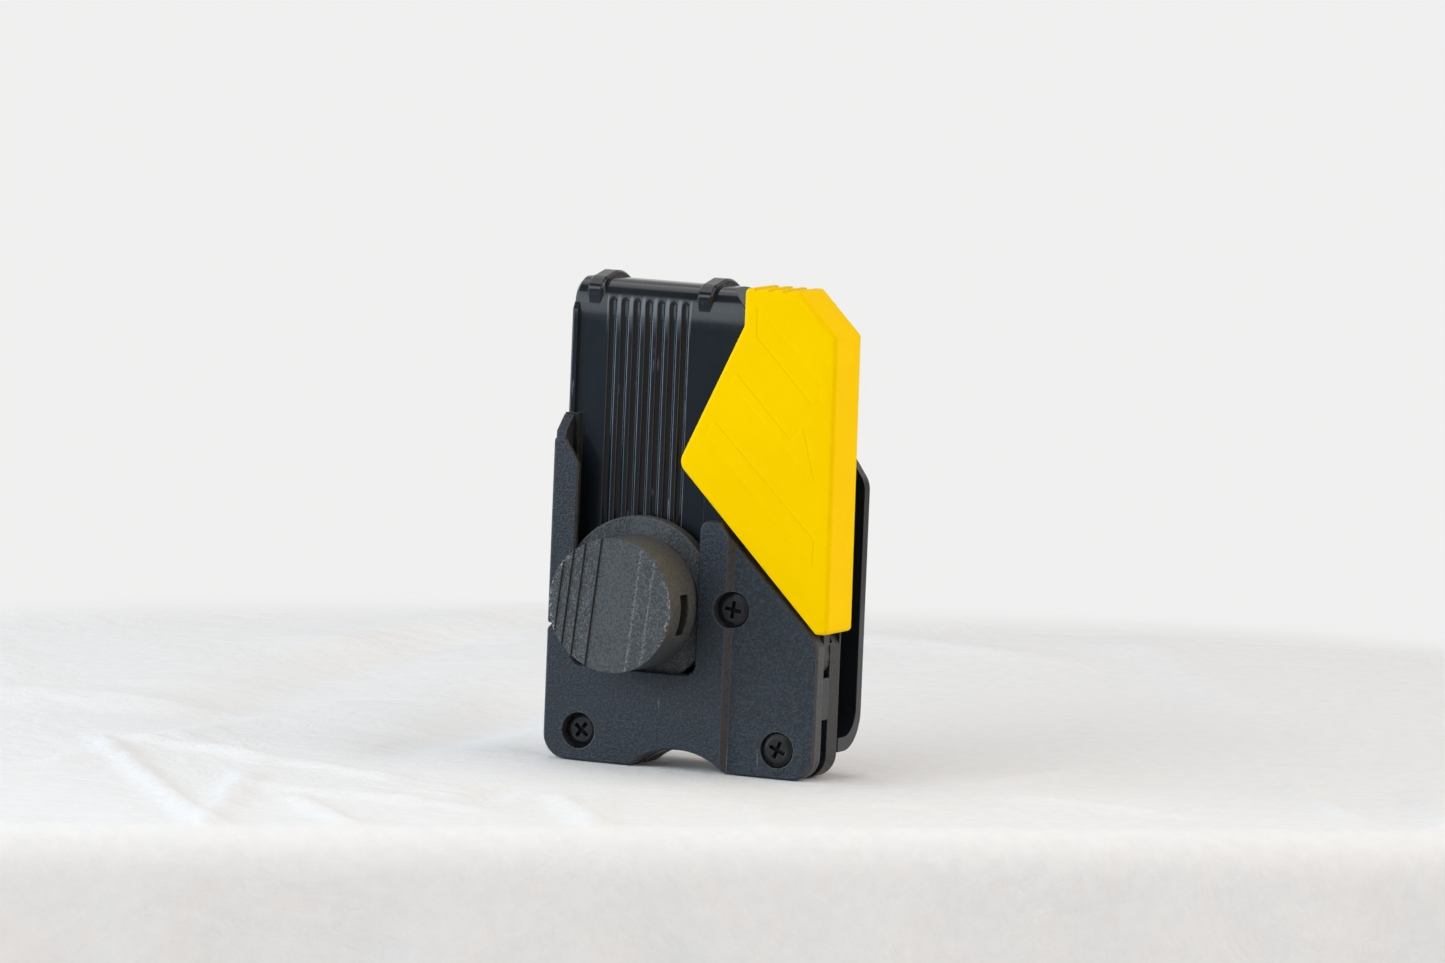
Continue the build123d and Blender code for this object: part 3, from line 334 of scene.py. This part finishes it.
# Folds, placed one by one: both ends in the photograph's pixels, height and width in millimetres.
FOLDS = (
    (100, 738, 205, 822, 1.4, 2.4), (120, 735, 380, 775, 1.2, 3.0), (180, 735, 260, 760, 0.8, 2.5),
    (245, 775, 205, 830, 1.3, 2.6), (270, 785, 400, 800, 1.1, 3.0), (300, 800, 360, 830, 1.4, 2.6),
    (480, 797, 542, 776, -1.3, 3.0), (560, 795, 592, 826, 1.3, 2.6), (602, 790, 598, 832, 0.9, 2.2),
    (655, 792, 662, 778, -1.2, 2.2), (690, 796, 900, 804, 0.9, 3.4), (765, 802, 762, 830, 0.8, 2.2),
    (1040, 798, 1150, 812, 0.9, 3.0), (1290, 790, 1352, 818, 1.4, 3.0), (1425, 795, 1450, 828, 1.4, 3.0),
    (250, 705, 430, 640, -2.4, 15.0), (440, 742, 545, 700, -2.4, 12.0), (0, 690, 150, 702, 1.5, 13.0),
    (350, 640, 520, 612, 1.6, 12.0), (890, 640, 1010, 655, 1.2, 11.0), (1150, 650, 1230, 700, 1.3, 9.0),
    (60, 760, 330, 700, 0.7, 4.0), (930, 790, 1060, 770, 0.6, 3.0), (360, 790, 480, 810, 0.8, 3.0),
)
CLOTH_DULL, CLOTH_BRIGHT = (0.862, 0.868, 0.880), (0.902, 0.906, 0.912)
CLOTH_BLUSH = (0.905, 0.860, 0.838)


def floor_point(pixel):
    """Where the camera's ray through a pixel meets z = 0."""
    across, upward, ahead = camera_axes()
    side, rise = pixel_slopes(pixel)
    ray = ahead + across * side + upward * rise
    eye = camera_place()
    return eye - ray * (eye.z / ray.z)


def fold(x, y, start, end, rise, width):
    """Height of one rounded fold along a segment, fading beyond its ends."""
    run = np.array([end.x - start.x, end.y - start.y])
    length = np.hypot(*run)
    run = run / length
    along = (x - start.x) * run[0] + (y - start.y) * run[1]
    off = (y - start.y) * run[0] - (x - start.x) * run[1]
    beyond = np.maximum(np.maximum(-along, along - length), 0)
    return rise * np.exp(-((off / width) ** 2)) * np.exp(-((beyond / (2 * width)) ** 2))


def cloth_height(x, y):
    height = np.zeros_like(x)
    for x1, y1, x2, y2, rise, width in FOLDS:
        height += fold(x, y, floor_point((x1, y1)), floor_point((x2, y2)), rise * MM, width * MM)
    rng = np.random.default_rng(CREASE_SEED)
    for _ in range(CREASES):
        middle = Vector((rng.uniform(*CREASE_X), rng.uniform(*CREASE_Y), 0))
        turn, half = rng.uniform(0, math.pi), rng.uniform(*CREASE_HALF)
        arm = Vector((math.cos(turn) * half, math.sin(turn) * half, 0))
        rise, width = rng.uniform(*CREASE_RISE), rng.uniform(*CREASE_WIDTH)
        height += fold(x, y, middle - arm, middle + arm, rise, width)
    clear = np.clip((np.hypot(x, y) - CLEAR_RADIUS) / CLEAR_GROWTH, 0, 1) ** 2
    return height * clear


def table_edge(pixels, edge):
    """Points on the table, in metres, under an edge that is seen in the photograph."""
    rows = np.interp(pixels, *zip(*edge))
    return np.array([floor_point(pixel)[:2] for pixel in zip(pixels, rows)])


def level_row(line, height):
    return np.concatenate([line, np.full((len(line), 1), height)], -1)[None]


def cloth_grid():
    """Rows of points from the back edge over the table, round its front edge and down."""
    pixels = np.arange(BACK_EDGE[0][0], BACK_EDGE[-1][0], COLUMN_STEP)
    back, front = table_edge(pixels, BACK_EDGE), table_edge(pixels, FRONT_EDGE)
    depth = float(np.hypot(*(front - back).mean(0)))
    share = np.linspace(0, 1, int(depth / ROW_STEP) + 1)[:, None, None]
    top = back[None] * (1 - share) + front[None] * share
    x, y = top[..., 0], top[..., 1]
    rows = [np.stack([x, y, cloth_height(x, y)], -1)]
    ahead = camera_axes()[2]
    outward = np.array([-ahead.x, -ahead.y]) / math.hypot(ahead.x, ahead.y)
    for turn in np.linspace(BEND_START, math.pi / 2, BEND_ROWS):
        lip = front + outward * EDGE_BEND * math.sin(turn)
        rows.append(level_row(lip, EDGE_BEND * (math.cos(turn) - 1)))
    sway = sum(size * np.sin(pixels / length + phase) for size, length, phase in SWAYS)
    for drop in np.arange(ROW_STEP, DRAPE, ROW_STEP):
        hang = front + outward * (EDGE_BEND + sway[:, None] * min(1.0, drop / SWAY_GROWTH))
        rows.append(level_row(hang, -EDGE_BEND - drop))
    grid = np.concatenate(rows)
    grid[..., 2] -= FLOOR_DROP
    return grid


def add_floor():
    grid = cloth_grid()
    count, columns = grid.shape[:2]
    first = (np.arange(count - 1)[:, None] * columns + np.arange(columns - 1)[None, :]).ravel()
    faces = np.stack([first, first + columns, first + columns + 1, first + 1], -1)
    mesh = bpy.data.meshes.new("floor")
    mesh.from_pydata(grid.reshape(-1, 3).tolist(), [], faces.tolist())
    mesh.polygons.foreach_set("use_smooth", [True] * len(mesh.polygons))
    fade = mesh.attributes.new("edge_fade", "FLOAT", "POINT")
    reach = np.clip(1 - np.arange(count) * ROW_STEP / FADE_WIDTH, 0, 1)
    fade.data.foreach_set("value", np.repeat(reach, columns).astype(np.float32))
    floor = bpy.data.objects.new("floor", mesh)
    scene.collection.objects.link(floor)
    floor.data.materials.append(cloth_finish())


def cloth_finish():
    """White fleece that fades into the backdrop at its back edge."""
    material, graph, put = surface("white_cloth")
    where = graph.where()
    fleece = graph.noise(1100, where, detail=3, rough=0.65)
    wrinkle = graph.noise(22, where, detail=5, rough=0.6, distortion=0.8)
    mottle = graph.noise(260, where, detail=4, rough=0.6)
    patches = graph.noise(70, where, detail=5, rough=0.65)
    hanging = graph.fit(graph.axes(where)["Z"], -0.004, -0.020)
    blush = graph.times(graph.fit(patches, 0.50, 0.68, 0.0, 0.55), hanging)
    shade = graph.blend(graph.fit(mottle, 0.25, 0.75), CLOTH_DULL, CLOTH_BRIGHT)
    graph.put(put["Base Color"], graph.blend(blush, shade, CLOTH_BLUSH))
    put["Roughness"].default_value = 0.95
    put["Specular IOR Level"].default_value = 0.15
    graph.put(put["Normal"], graph.bump(fleece, 0.12 * MM, graph.bump(wrinkle, 1.6 * MM)))
    glow = graph.add("Emission")
    graph.put(glow.inputs["Color"], BACKDROP)
    mix = graph.add("MixShader")
    fade = graph.add("Attribute", attribute_name="edge_fade").outputs["Fac"]
    graph.put(mix.inputs[0], graph.fit(fade, 0.0, 1.0))
    graph.put(mix.inputs[1], material.node_tree.nodes["Principled BSDF"].outputs[0])
    graph.put(mix.inputs[2], glow.outputs[0])
    graph.put(material.node_tree.nodes["Material Output"].inputs["Surface"], mix.outputs[0])
    return material


add_floor()


# ---------------------------------------------------------------- marks that the finishes share
SPECK_RADIUS = 0.06    # in cells
RIGHT, BACK = (1, 0, 0), (0, 1, 0)


def dust(graph, scale):
    """Sparse pale specks."""
    spot = graph.fit(graph.cells(scale, graph.where()), 0.0, SPECK_RADIUS, 1.0, 0.0)
    return graph.times(spot, graph.fit(graph.noise(scale * 0.23, graph.where()), 0.62, 0.70))


def strokes(graph, turn, scale=700.0):
    """A few short thin scratches, all lying the same way."""
    path = graph.mapped(graph.where(), scale=(1, 1, 0.05), turn=(0, turn, 0))
    line = graph.fit(graph.noise(scale, path, detail=1), 0.70, 0.735)
    return graph.times(line, graph.fit(graph.noise(130, graph.where()), 0.55, 0.68))


# ---------------------------------------------------------------- moulded black plastic
# How far faces turn to the right: the riser's slope, and the mouldings' right-hand sides, which both get
# painted warm light.
RISER_FACING, FLANK_FACING = (0.30, 0.55), (0.80, 0.97)
RISER_PAINTED_LIGHT = (0.062, 0.050, 0.044)
PLASTIC_DUST = (0.26, 0.27, 0.28)


def moulded_black(name, base, edge, flank_painted_light, grain, roughness, level, speckle):
    """Spark-textured plastic with edges lightened partly by rubbing and partly as painted highlights;
    flank_painted_light is the warm light painted on its right-hand sides.
    """
    material, graph, put = surface(name)
    where = graph.where()
    broad = graph.noise(90, where, detail=4, rough=0.6)
    fine = graph.noise(1700, where, rough=0.75)
    cloudy = graph.noise(330, where, detail=3, rough=0.6)
    rightward = graph.facing(RIGHT)
    wear_and_highlight = graph.times(graph.edge_mask(0.5 * MM), graph.fit(broad, 0.3, 0.6, 0.45, 1.0))
    specks = graph.math("MAXIMUM", dust(graph, 700), graph.times(strokes(graph, 25), 0.6))
    light = tuple(part * (1 + 2.4 * speckle) + 0.002 * speckle for part in base)
    tone = graph.blend(graph.fit(broad, 0.35, 0.7), base, scaled(base, 1.3))
    # Painted warm light on the riser's slope, which faces right.
    tone = graph.blend(graph.fit(rightward, *RISER_FACING, 0.0, 0.8), tone, RISER_PAINTED_LIGHT)
    # Painted warm light on the right-hand sides, lighter and warmer than the base.
    tone = graph.blend(graph.fit(rightward, *FLANK_FACING, 0.0, 0.85), tone, flank_painted_light)
    tone = graph.blend(graph.fit(fine, 0.47, 0.64), tone, light)
    tone = graph.blend(graph.fit(cloudy, 0.5, 0.7, 0.0, 0.12), tone, light)
    # The edge colour on the outer edges is partly rubbing and partly a painted highlight.
    tone = graph.blend(graph.times(wear_and_highlight, 0.7), tone, edge)
    graph.put(put["Base Color"], graph.blend(graph.times(specks, 0.4), tone, PLASTIC_DUST))
    rough = graph.fit(fine, 0.3, 0.7, roughness - 0.06, roughness + 0.08)
    graph.put(put["Roughness"], graph.math("SUBTRACT", rough, graph.times(wear_and_highlight, 0.12)))
    put["Specular IOR Level"].default_value = level
    pits = graph.math("ADD", graph.cells(1900, where), graph.fit(fine, 0.35, 0.65))
    graph.put(put["Normal"], graph.bump(pits, grain, graph.soft_edges(0.28 * MM)))
    return material


# ---------------------------------------------------------------- glossy clip
# The flutes of the clip's leaf, in millimetres of the frame.
FLUTE_FIRST = -24.15
FLUTE_PITCH = 3.0
FLUTE_COUNT = 7
FLUTE_HALF = 0.924
FLUTE_TOP = 103.4
LEAF_FRONT = -1.03
LEAN_START, LEAN_END = 99.2, 104.1    # where the leaf starts to lean back into the bend
LEAN_DEPTH = 0.55 * MM
LINE_CORE = 0.04
WARM_REFLECTION_HALF, COOL_REFLECTION_HALF = 0.14, 0.21    # half widths of the painted reflection lines down the flutes' edges
FLUTE_WARM_REFLECTION, FLUTE_COOL_REFLECTION, FLUTE_FLARE_HIGHLIGHT = (0.080, 0.064, 0.057), (0.165, 0.185, 0.205), (0.120, 0.140, 0.160)
CLIP_SCRATCH, CLIP_DUST = (0.24, 0.25, 0.26), (0.36, 0.36, 0.36)


def flute_painted_reflections(graph, where):
    """Masks of the painted warm and cool reflections down the flutes' left and right edges, and of the
    painted highlights between the tops.
    """
    axes = graph.axes(where)
    along, height = graph.times(axes["X"], 1 / MM), axes["Z"]
    half_pitch = FLUTE_PITCH / 2
    start = FLUTE_FIRST - half_pitch
    offset = graph.math("FLOORED_MODULO", graph.math("SUBTRACT", along, start), FLUTE_PITCH)
    offset = graph.math("SUBTRACT", offset, half_pitch)
    from_middle = graph.away(along, start + FLUTE_COUNT * half_pitch)
    on_leaf = graph.fit(axes["Y"], (LEAF_FRONT + 1.0) * MM, (LEAF_FRONT + 0.8) * MM)
    half_field = FLUTE_COUNT * half_pitch
    fluted = graph.times(graph.fit(from_middle, half_field, half_field - 0.1), on_leaf)
    ridge = graph.fit(graph.math("ABSOLUTE", offset), FLUTE_HALF, FLUTE_HALF + 0.35)
    flare_highlight = graph.times(ridge, fluted, graph.fit(height, (FLUTE_TOP - 9) * MM, (FLUTE_TOP - 1) * MM),
                        graph.fit(height, (FLUTE_TOP + 1.3) * MM, (FLUTE_TOP + 0.2) * MM))
    streaks = graph.noise(160, graph.mapped(where, scale=(3, 1, 0.25)), detail=3, rough=0.6)
    lined = graph.times(fluted, graph.fit(height, FLUTE_TOP * MM, (FLUTE_TOP - 4) * MM),
                        graph.fit(streaks, 0.30, 0.60, 0.45, 1.0))
    edge = FLUTE_HALF + 0.02
    warm_reflection = graph.times(graph.fit(graph.away(offset, -edge), LINE_CORE, WARM_REFLECTION_HALF, 1.0, 0.0), lined)
    pale = graph.times(graph.fit(graph.away(offset, edge), LINE_CORE, COOL_REFLECTION_HALF, 1.0, 0.0), lined)
    return warm_reflection, pale, flare_highlight


def glossy_black(name, base, roughness):
    """Smooth moulded nylon: long drawn sheen, handling marks, scratches, dust, and painted reflections and
    highlights on the flutes.
    """
    material, graph, put = surface(name)
    where = graph.where()
    axes = graph.axes(where)
    smears = graph.noise(38, graph.mapped(where, scale=(1, 1, 0.35)), detail=5, rough=0.65, distortion=0.4)
    marks = graph.math("MAXIMUM", strokes(graph, -24), strokes(graph, 63, 820))
    warm_reflection, pale, flare_highlight = flute_painted_reflections(graph, where)
    tone = graph.blend(graph.fit(smears, 0.3, 0.75), base, scaled(base, 1.5))
    tone = graph.blend(graph.times(marks, 0.55), tone, CLIP_SCRATCH)
    tone = graph.blend(graph.times(dust(graph, 520), 0.55), tone, CLIP_DUST)
    # Painted highlights between the flutes' tops, then painted warm and cool reflections down their edges.
    tone = graph.blend(graph.times(flare_highlight, 0.75), tone, FLUTE_FLARE_HIGHLIGHT)
    tone = graph.blend(graph.times(warm_reflection, 0.85), tone, FLUTE_WARM_REFLECTION)
    graph.put(put["Base Color"], graph.blend(graph.times(pale, 0.85), tone, FLUTE_COOL_REFLECTION))
    leaf = graph.fit(axes["Y"], (LEAF_FRONT + 3.0) * MM, (LEAF_FRONT + 2.0) * MM)
    leaning = graph.times(graph.fit(axes["Z"], (LEAN_START - 1.5) * MM, LEAN_START * MM),
                          graph.fit(axes["Z"], (LEAN_END + 0.8) * MM, LEAN_END * MM), leaf)
    rough = graph.fit(smears, 0.3, 0.8, roughness, roughness + 0.09)
    graph.put(put["Roughness"], graph.math("ADD", rough, graph.times(leaning, 0.10)))
    put["Specular IOR Level"].default_value = 0.32
    ripple = graph.noise(420, where)
    sink = graph.noise(60, graph.mapped(where, scale=(1, 1, 0.4)))
    lean = graph.times(graph.fit(axes["Z"], LEAN_START * MM, LEAN_END * MM, 1.0, 0.0), leaf)
    normal = graph.bump(lean, LEAN_DEPTH, graph.soft_edges(0.28 * MM))
    normal = graph.bump(ripple, 0.005 * MM, graph.bump(sink, 0.05 * MM, normal))
    graph.put(put["Normal"], graph.bump(marks, 0.01 * MM, normal))
    return material


# ---------------------------------------------------------------- yellow cap
# Outlines of the shallow slanted bands on the lever cap's front, in (x, z) millimetres of the frame.
SUNK_BAND = [(14.3, 104.7), (30.7, 88.8), (30.6, 84.6), (28.1, 84.4), (14.4, 98.2)]
RAISED_BANDS = (
    [(9.9, 89.6), (29.0, 70.4), (29.9, 66.7), (8.7, 87.3)],
    [(23.6, 74.9), (26.6, 78.9), (29.9, 66.7)],
    [(4.8, 78.7), (30.3, 54.1), (30.2, 48.2), (3.1, 74.9)],
)
BAND_SOFT = 0.16
BAND_DEPTH = 0.10 * MM
YELLOW_DEEP, YELLOW_PALE = (0.930, 0.590, 0.0), (0.955, 0.610, 0.0)
YELLOW_GRIME, YELLOW_EDGE_HIGHLIGHT = (0.60, 0.38, 0.01), (0.97, 0.66, 0.02)
YELLOW_TINT = (1.0, 0.80, 0.02)


def yellow_plastic():
    """Moulded yellow cap with shallow slanted bands, a faint grain, specks of dirt and painted highlights on
    its edges.
    """
    material, graph, put = surface("cap_yellow_plastic", ior=1.48)
    where = graph.where()
    broad = graph.noise(70, where, detail=4, rough=0.6)
    fine = graph.noise(2600, where, rough=0.6)
    front = graph.fit(graph.along((0, -1, 0)), 5.6, 6.4)
    bands = graph.polygon(RAISED_BANDS[0], BAND_SOFT)
    for outline in RAISED_BANDS[1:]:
        bands = graph.math("MAXIMUM", bands, graph.polygon(outline, BAND_SOFT))
    bands = graph.times(graph.math("SUBTRACT", bands, graph.polygon(SUNK_BAND, BAND_SOFT)), front)
    tone = graph.blend(graph.fit(broad, 0.3, 0.75), YELLOW_DEEP, YELLOW_PALE)
    tone = graph.blend(graph.times(dust(graph, 600), 0.3), tone, YELLOW_GRIME)
    # Painted highlight along the cap's outer edges.
    tone = graph.blend(graph.times(graph.edge_mask(0.6 * MM), 0.5), tone, YELLOW_EDGE_HIGHLIGHT)
    graph.put(put["Base Color"], tone)
    graph.put(put["Roughness"], graph.fit(fine, 0.3, 0.7, 0.46, 0.56))
    put["Specular IOR Level"].default_value = 0.02
    graph.put(put["Specular Tint"], YELLOW_TINT)
    normal = graph.bump(bands, BAND_DEPTH, graph.soft_edges(0.9 * MM))
    graph.put(put["Normal"], graph.bump(fine, 0.005 * MM, normal))
    return material


# ---------------------------------------------------------------- printed pin
LAYER = 0.2 * MM
PIN_CENTRE = (-13.0, 0, 36.8)    # millimetres of the frame
PIN_ANGLE = math.radians(6)
PIN_RADIUS = 15.0
PIN_FRONT = -19.97 * MM
DISH_DEPTH = 1.6 * MM
# Where the treads of the drum's dish end, in millimetres across the drum.
TREAD_MIDDLE = 0.6
TREAD_HALVES = (4.97, 8.62, 11.12, 13.16)
STRAND_TURN, HATCH_TURN = 43, 35    # degrees
OUTER_SIDE = (0.84, 0, 0.54)        # the direction of the drum's side where the warm light falling on it is painted
PRINT_PIT, PRINT_GROUND, PRINT_GRAIN = (0.016, 0.020, 0.023), (0.026, 0.031, 0.035), (0.062, 0.073, 0.081)
PRINT_SPARKLE, PRINT_STRAND = (0.17, 0.19, 0.205), (0.10, 0.115, 0.125)
SIDE_PAINTED_LIGHT_GROUND, SIDE_PAINTED_LIGHT_GRAIN = (0.067, 0.066, 0.063), (0.152, 0.149, 0.142)
PRINT_LIP, PRINT_CHIP, PRINT_RIDGE = (0.15, 0.165, 0.175), (0.34, 0.36, 0.37), (0.20, 0.22, 0.235)
STEP_SHADE = (0.006, 0.005, 0.005)
SLOT_SHADE, SLOT_HATCH = (0.004, 0.004, 0.004), (0.040, 0.040, 0.040)


def printed_grey(name, relief, slotted):
    """Filament print: layers stacked from back to front, rough diagonal strands on its flats, painted warm
    light on one side.

    A slotted print has painted shade and hatching inside its nut's slot.
    """
    material, graph, put = surface(name, ior=1.46)
    where = graph.where()
    depth = graph.axes(where)["Y"]
    across = graph.along((math.cos(PIN_ANGLE), 0, -math.sin(PIN_ANGLE)), PIN_CENTRE)
    upward = graph.along((math.sin(PIN_ANGLE), 0, math.cos(PIN_ANGLE)), PIN_CENTRE)
    radius = graph.radius(across, upward)
    front = graph.fit(depth, PIN_FRONT + 0.5 * MM, PIN_FRONT + 0.1 * MM)
    dish = graph.fit(depth, PIN_FRONT + DISH_DEPTH + 0.1 * MM, PIN_FRONT + DISH_DEPTH)
    rim = graph.times(graph.fit(radius, PIN_RADIUS - 1.3, PIN_RADIUS - 0.25), front)
    off = graph.math("SUBTRACT", across, TREAD_MIDDLE)
    inner = TREAD_HALVES[0]
    rough_zone = graph.fit(graph.math("ABSOLUTE", off), inner - 0.1, inner + 0.3, 0.25, 1.0)
    flat = graph.fit(graph.math("ABSOLUTE", graph.facing(BACK)), 0.75, 0.95)

    grit = graph.noise(1750, where, rough=0.75)
    grains = graph.fit(grit, 0.38, 0.62)
    blotch = graph.noise(240, where, detail=3, rough=0.6)
    path = graph.mapped(where, scale=(1, 0, 1), turn=(0, STRAND_TURN, 0))
    strands = graph.times(graph.wave(760, path, "X", distortion=5.0, detail=2.0), flat)
    sparkle = graph.times(graph.fit(graph.noise(2500, where, detail=1), 0.55, 0.66), flat)
    outer = graph.fit(graph.facing(OUTER_SIDE), 0.25, 0.95, 0.0, 0.75)
    lip = graph.times(graph.edge_mask(0.5 * MM), graph.besides(dish))
    base = graph.blend(graph.fit(blotch, 0.3, 0.7), PRINT_PIT, PRINT_GROUND)
    base = graph.blend(grains, base, PRINT_GRAIN)
    base = graph.blend(graph.times(sparkle, rough_zone, 0.6), base, PRINT_SPARKLE)
    base = graph.blend(graph.times(strands, rough_zone, 0.32), base, PRINT_STRAND)
    # Painted warm light on the side that faces OUTER_SIDE.
    base = graph.blend(outer, base, graph.blend(grains, SIDE_PAINTED_LIGHT_GROUND, SIDE_PAINTED_LIGHT_GRAIN))
    base = graph.blend(graph.times(lip, 0.6), base, PRINT_LIP)
    for half in TREAD_HALVES:
        step = graph.fit(graph.math("ABSOLUTE", graph.math("ADD", off, half)), 0.08, 0.28, 0.85, 0.0)
        base = graph.blend(graph.times(step, dish), base, STEP_SHADE)
    for half in TREAD_HALVES[:2]:
        ridge = graph.fit(graph.away(off, half), 0.15, 0.55, 0.8, 0.0)
        base = graph.blend(graph.times(ridge, dish, graph.fit(grit, 0.46, 0.56)), base, PRINT_RIDGE)
    chips = graph.times(graph.fit(graph.noise(1300, where), 0.52, 0.62), rim)
    base = graph.blend(graph.times(chips, 0.75), base, PRINT_CHIP)
    if slotted:
        inside = graph.times(graph.fit(radius, PIN_RADIUS - 0.35, PIN_RADIUS - 0.55), graph.besides(dish))
        hatch = graph.wave(900, graph.mapped(where, turn=(HATCH_TURN, 0, 0)), "Z", distortion=1.5, detail=1.0)
        base = graph.blend(inside, base, graph.blend(graph.fit(hatch, 0.72, 0.95), SLOT_SHADE, SLOT_HATCH))
    graph.put(put["Base Color"], base)
    graph.put(put["Roughness"], graph.fit(grit, 0.3, 0.7, 0.45, 0.68))

    layers = graph.math("PINGPONG", graph.times(depth, 1 / LAYER), 0.5)
    height = graph.math("ADD", graph.times(strands, rough_zone), graph.times(layers, graph.besides(flat)))
    shape = graph.bump(height, 0.10 * MM, graph.soft_edges(0.15 * MM))
    coarse = graph.times(grains, graph.fit(flat, 0, 1, 0.4, 1.0), rough_zone)
    graph.put(put["Normal"], graph.bump(coarse, relief, shape))
    return material


# ---------------------------------------------------------------- metal and the spring's sleeve
SCREW_BLACK, SCREW_WORN = (0.005, 0.006, 0.007), (0.010, 0.011, 0.012)
SCREW_EDGE, SCREW_RECESS_SHADE = (0.075, 0.080, 0.085), (0.002, 0.002, 0.002)
BUSH_DULL, BUSH_BRIGHT = (0.72, 0.71, 0.66), (0.80, 0.79, 0.75)


def metal(name, base, roughness, brushed=(1, 1, 1), stain=None):
    """Turned or drawn metal with fine tool lines and dull patches."""
    material, graph, put = surface(name, metallic=1.0)
    where = graph.where()
    lines = graph.noise(2400, graph.mapped(where, scale=brushed), rough=0.6)
    patch = graph.noise(260, where, detail=3, rough=0.6)
    tone = graph.blend(graph.fit(patch, 0.3, 0.75), base, stain or scaled(base, 0.75))
    graph.put(put["Base Color"], tone)
    graph.put(put["Roughness"], graph.fit(patch, 0.3, 0.75, roughness, roughness + 0.15))
    graph.put(put["Normal"], graph.bump(lines, 0.006 * MM, graph.soft_edges(0.08 * MM)))
    return material


def oxide_black():
    """Blackened screw steel, bare where the driver has rubbed it, with painted shade down in the driver
    recess.
    """
    material, graph, put = surface("blackened_steel", metallic=0.05)
    where = graph.where()
    local = graph.axes(graph.add("TexCoord").outputs["Generated"])
    radius = graph.radius(graph.math("SUBTRACT", local["X"], 0.5), graph.math("SUBTRACT", local["Z"], 0.5))
    # Painted shade down in the driver recess.
    recess = graph.times(graph.fit(local["Y"], 0.008, 0.03), graph.fit(radius, 0.36, 0.33))
    patch = graph.noise(700, where, detail=4, rough=0.65)
    rub = graph.times(graph.edge_mask(0.30 * MM), graph.fit(patch, 0.3, 0.55, 0.35, 1.0))
    tone = graph.blend(graph.fit(patch, 0.3, 0.7), SCREW_BLACK, SCREW_WORN)
    tone = graph.blend(rub, tone, SCREW_EDGE)
    graph.put(put["Base Color"], graph.blend(graph.times(recess, 0.92), tone, SCREW_RECESS_SHADE))
    put["Specular IOR Level"].default_value = 0.32
    shine = graph.fit(patch, 0.3, 0.7, 0.36, 0.52)
    graph.put(put["Roughness"], graph.math("ADD", shine, graph.times(recess, 0.4)))
    graph.put(put["Normal"], graph.bump(patch, 0.015 * MM, graph.soft_edges(0.10 * MM)))
    return material


def white_bush():
    material, graph, put = surface("bush_white_plastic", ior=1.48)
    broad = graph.noise(300, graph.where(), detail=3)
    graph.put(put["Base Color"], graph.blend(graph.fit(broad, 0.3, 0.7), BUSH_DULL, BUSH_BRIGHT))
    graph.put(put["Roughness"], graph.fit(broad, 0.3, 0.7, 0.38, 0.5))
    graph.put(put["Normal"], graph.bump(broad, 0.01 * MM, graph.soft_edges(0.1 * MM)))
    return material


# ---------------------------------------------------------------- which node gets which finish
COVER = moulded_black("cover_black_plastic", base=(0.0050, 0.0092, 0.0145), edge=(0.100, 0.112, 0.124),
                      flank_painted_light=(0.040, 0.037, 0.034), grain=0.05 * MM, roughness=0.44, level=0.38, speckle=1.0)
SHELL = moulded_black("shell_black_plastic", base=(0.0045, 0.0068, 0.0095), edge=(0.045, 0.050, 0.055),
                      flank_painted_light=(0.012, 0.0118, 0.0115), grain=0.03 * MM, roughness=0.42, level=0.24, speckle=0.5)
ARM = moulded_black("arm_black_plastic", base=(0.0050, 0.0070, 0.0090), edge=(0.045, 0.048, 0.052),
                    flank_painted_light=(0.012, 0.012, 0.012), grain=0.02 * MM, roughness=0.40, level=0.30, speckle=0.4)
CLIP = glossy_black("clip_black_nylon", base=(0.0078, 0.0104, 0.0136), roughness=0.13)
CAP = yellow_plastic()
DRUM = printed_grey("drum_grey_filament", relief=0.10 * MM, slotted=True)
FLANGE = printed_grey("flange_grey_filament", relief=0.22 * MM, slotted=False)
SCREW = oxide_black()
PIN_STEEL = metal("pin_steel_ground", (0.56, 0.56, 0.55), 0.24, brushed=(1, 0.05, 1))
SPRING_STEEL = metal("spring_steel_wire", (0.42, 0.42, 0.43), 0.28, stain=(0.30, 0.27, 0.24))
BOLT_STEEL = metal("bolt_steel_zinc", (0.60, 0.61, 0.62), 0.30)
BRASS = metal("insert_brass_knurled", (0.72, 0.50, 0.20), 0.30, brushed=(1, 0.1, 1))
BUSH = white_bush()

FINISHES = {
    "front_plate": COVER,
    "rear_shell": SHELL,
    "guide_clip": CLIP,
    "lever_arm": ARM,
    "lever_cap": CAP,
    "pin_flange": FLANGE,
    "pin_drum": DRUM,
    "cover_screw_left": SCREW,
    "cover_screw_middle": SCREW,
    "cover_screw_right": SCREW,
    "cap_screw_upper": SCREW,
    "cap_screw_lower": SCREW,
    "pivot_pin": PIN_STEEL,
    "pivot_washer": PIN_STEEL,
    "return_spring": SPRING_STEEL,
    "spring_bush": BUSH,
    "pin_nut": BOLT_STEEL,
    "pin_bolt": BOLT_STEEL,
    "screw_insert_left": BRASS,
    "screw_insert_middle": BRASS,
    "screw_insert_right": BRASS,
}

for node, finish in FINISHES.items():
    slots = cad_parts[node].data.materials
    if not slots:
        slots.append(finish)
    for index in range(len(slots)):
        slots[index] = finish
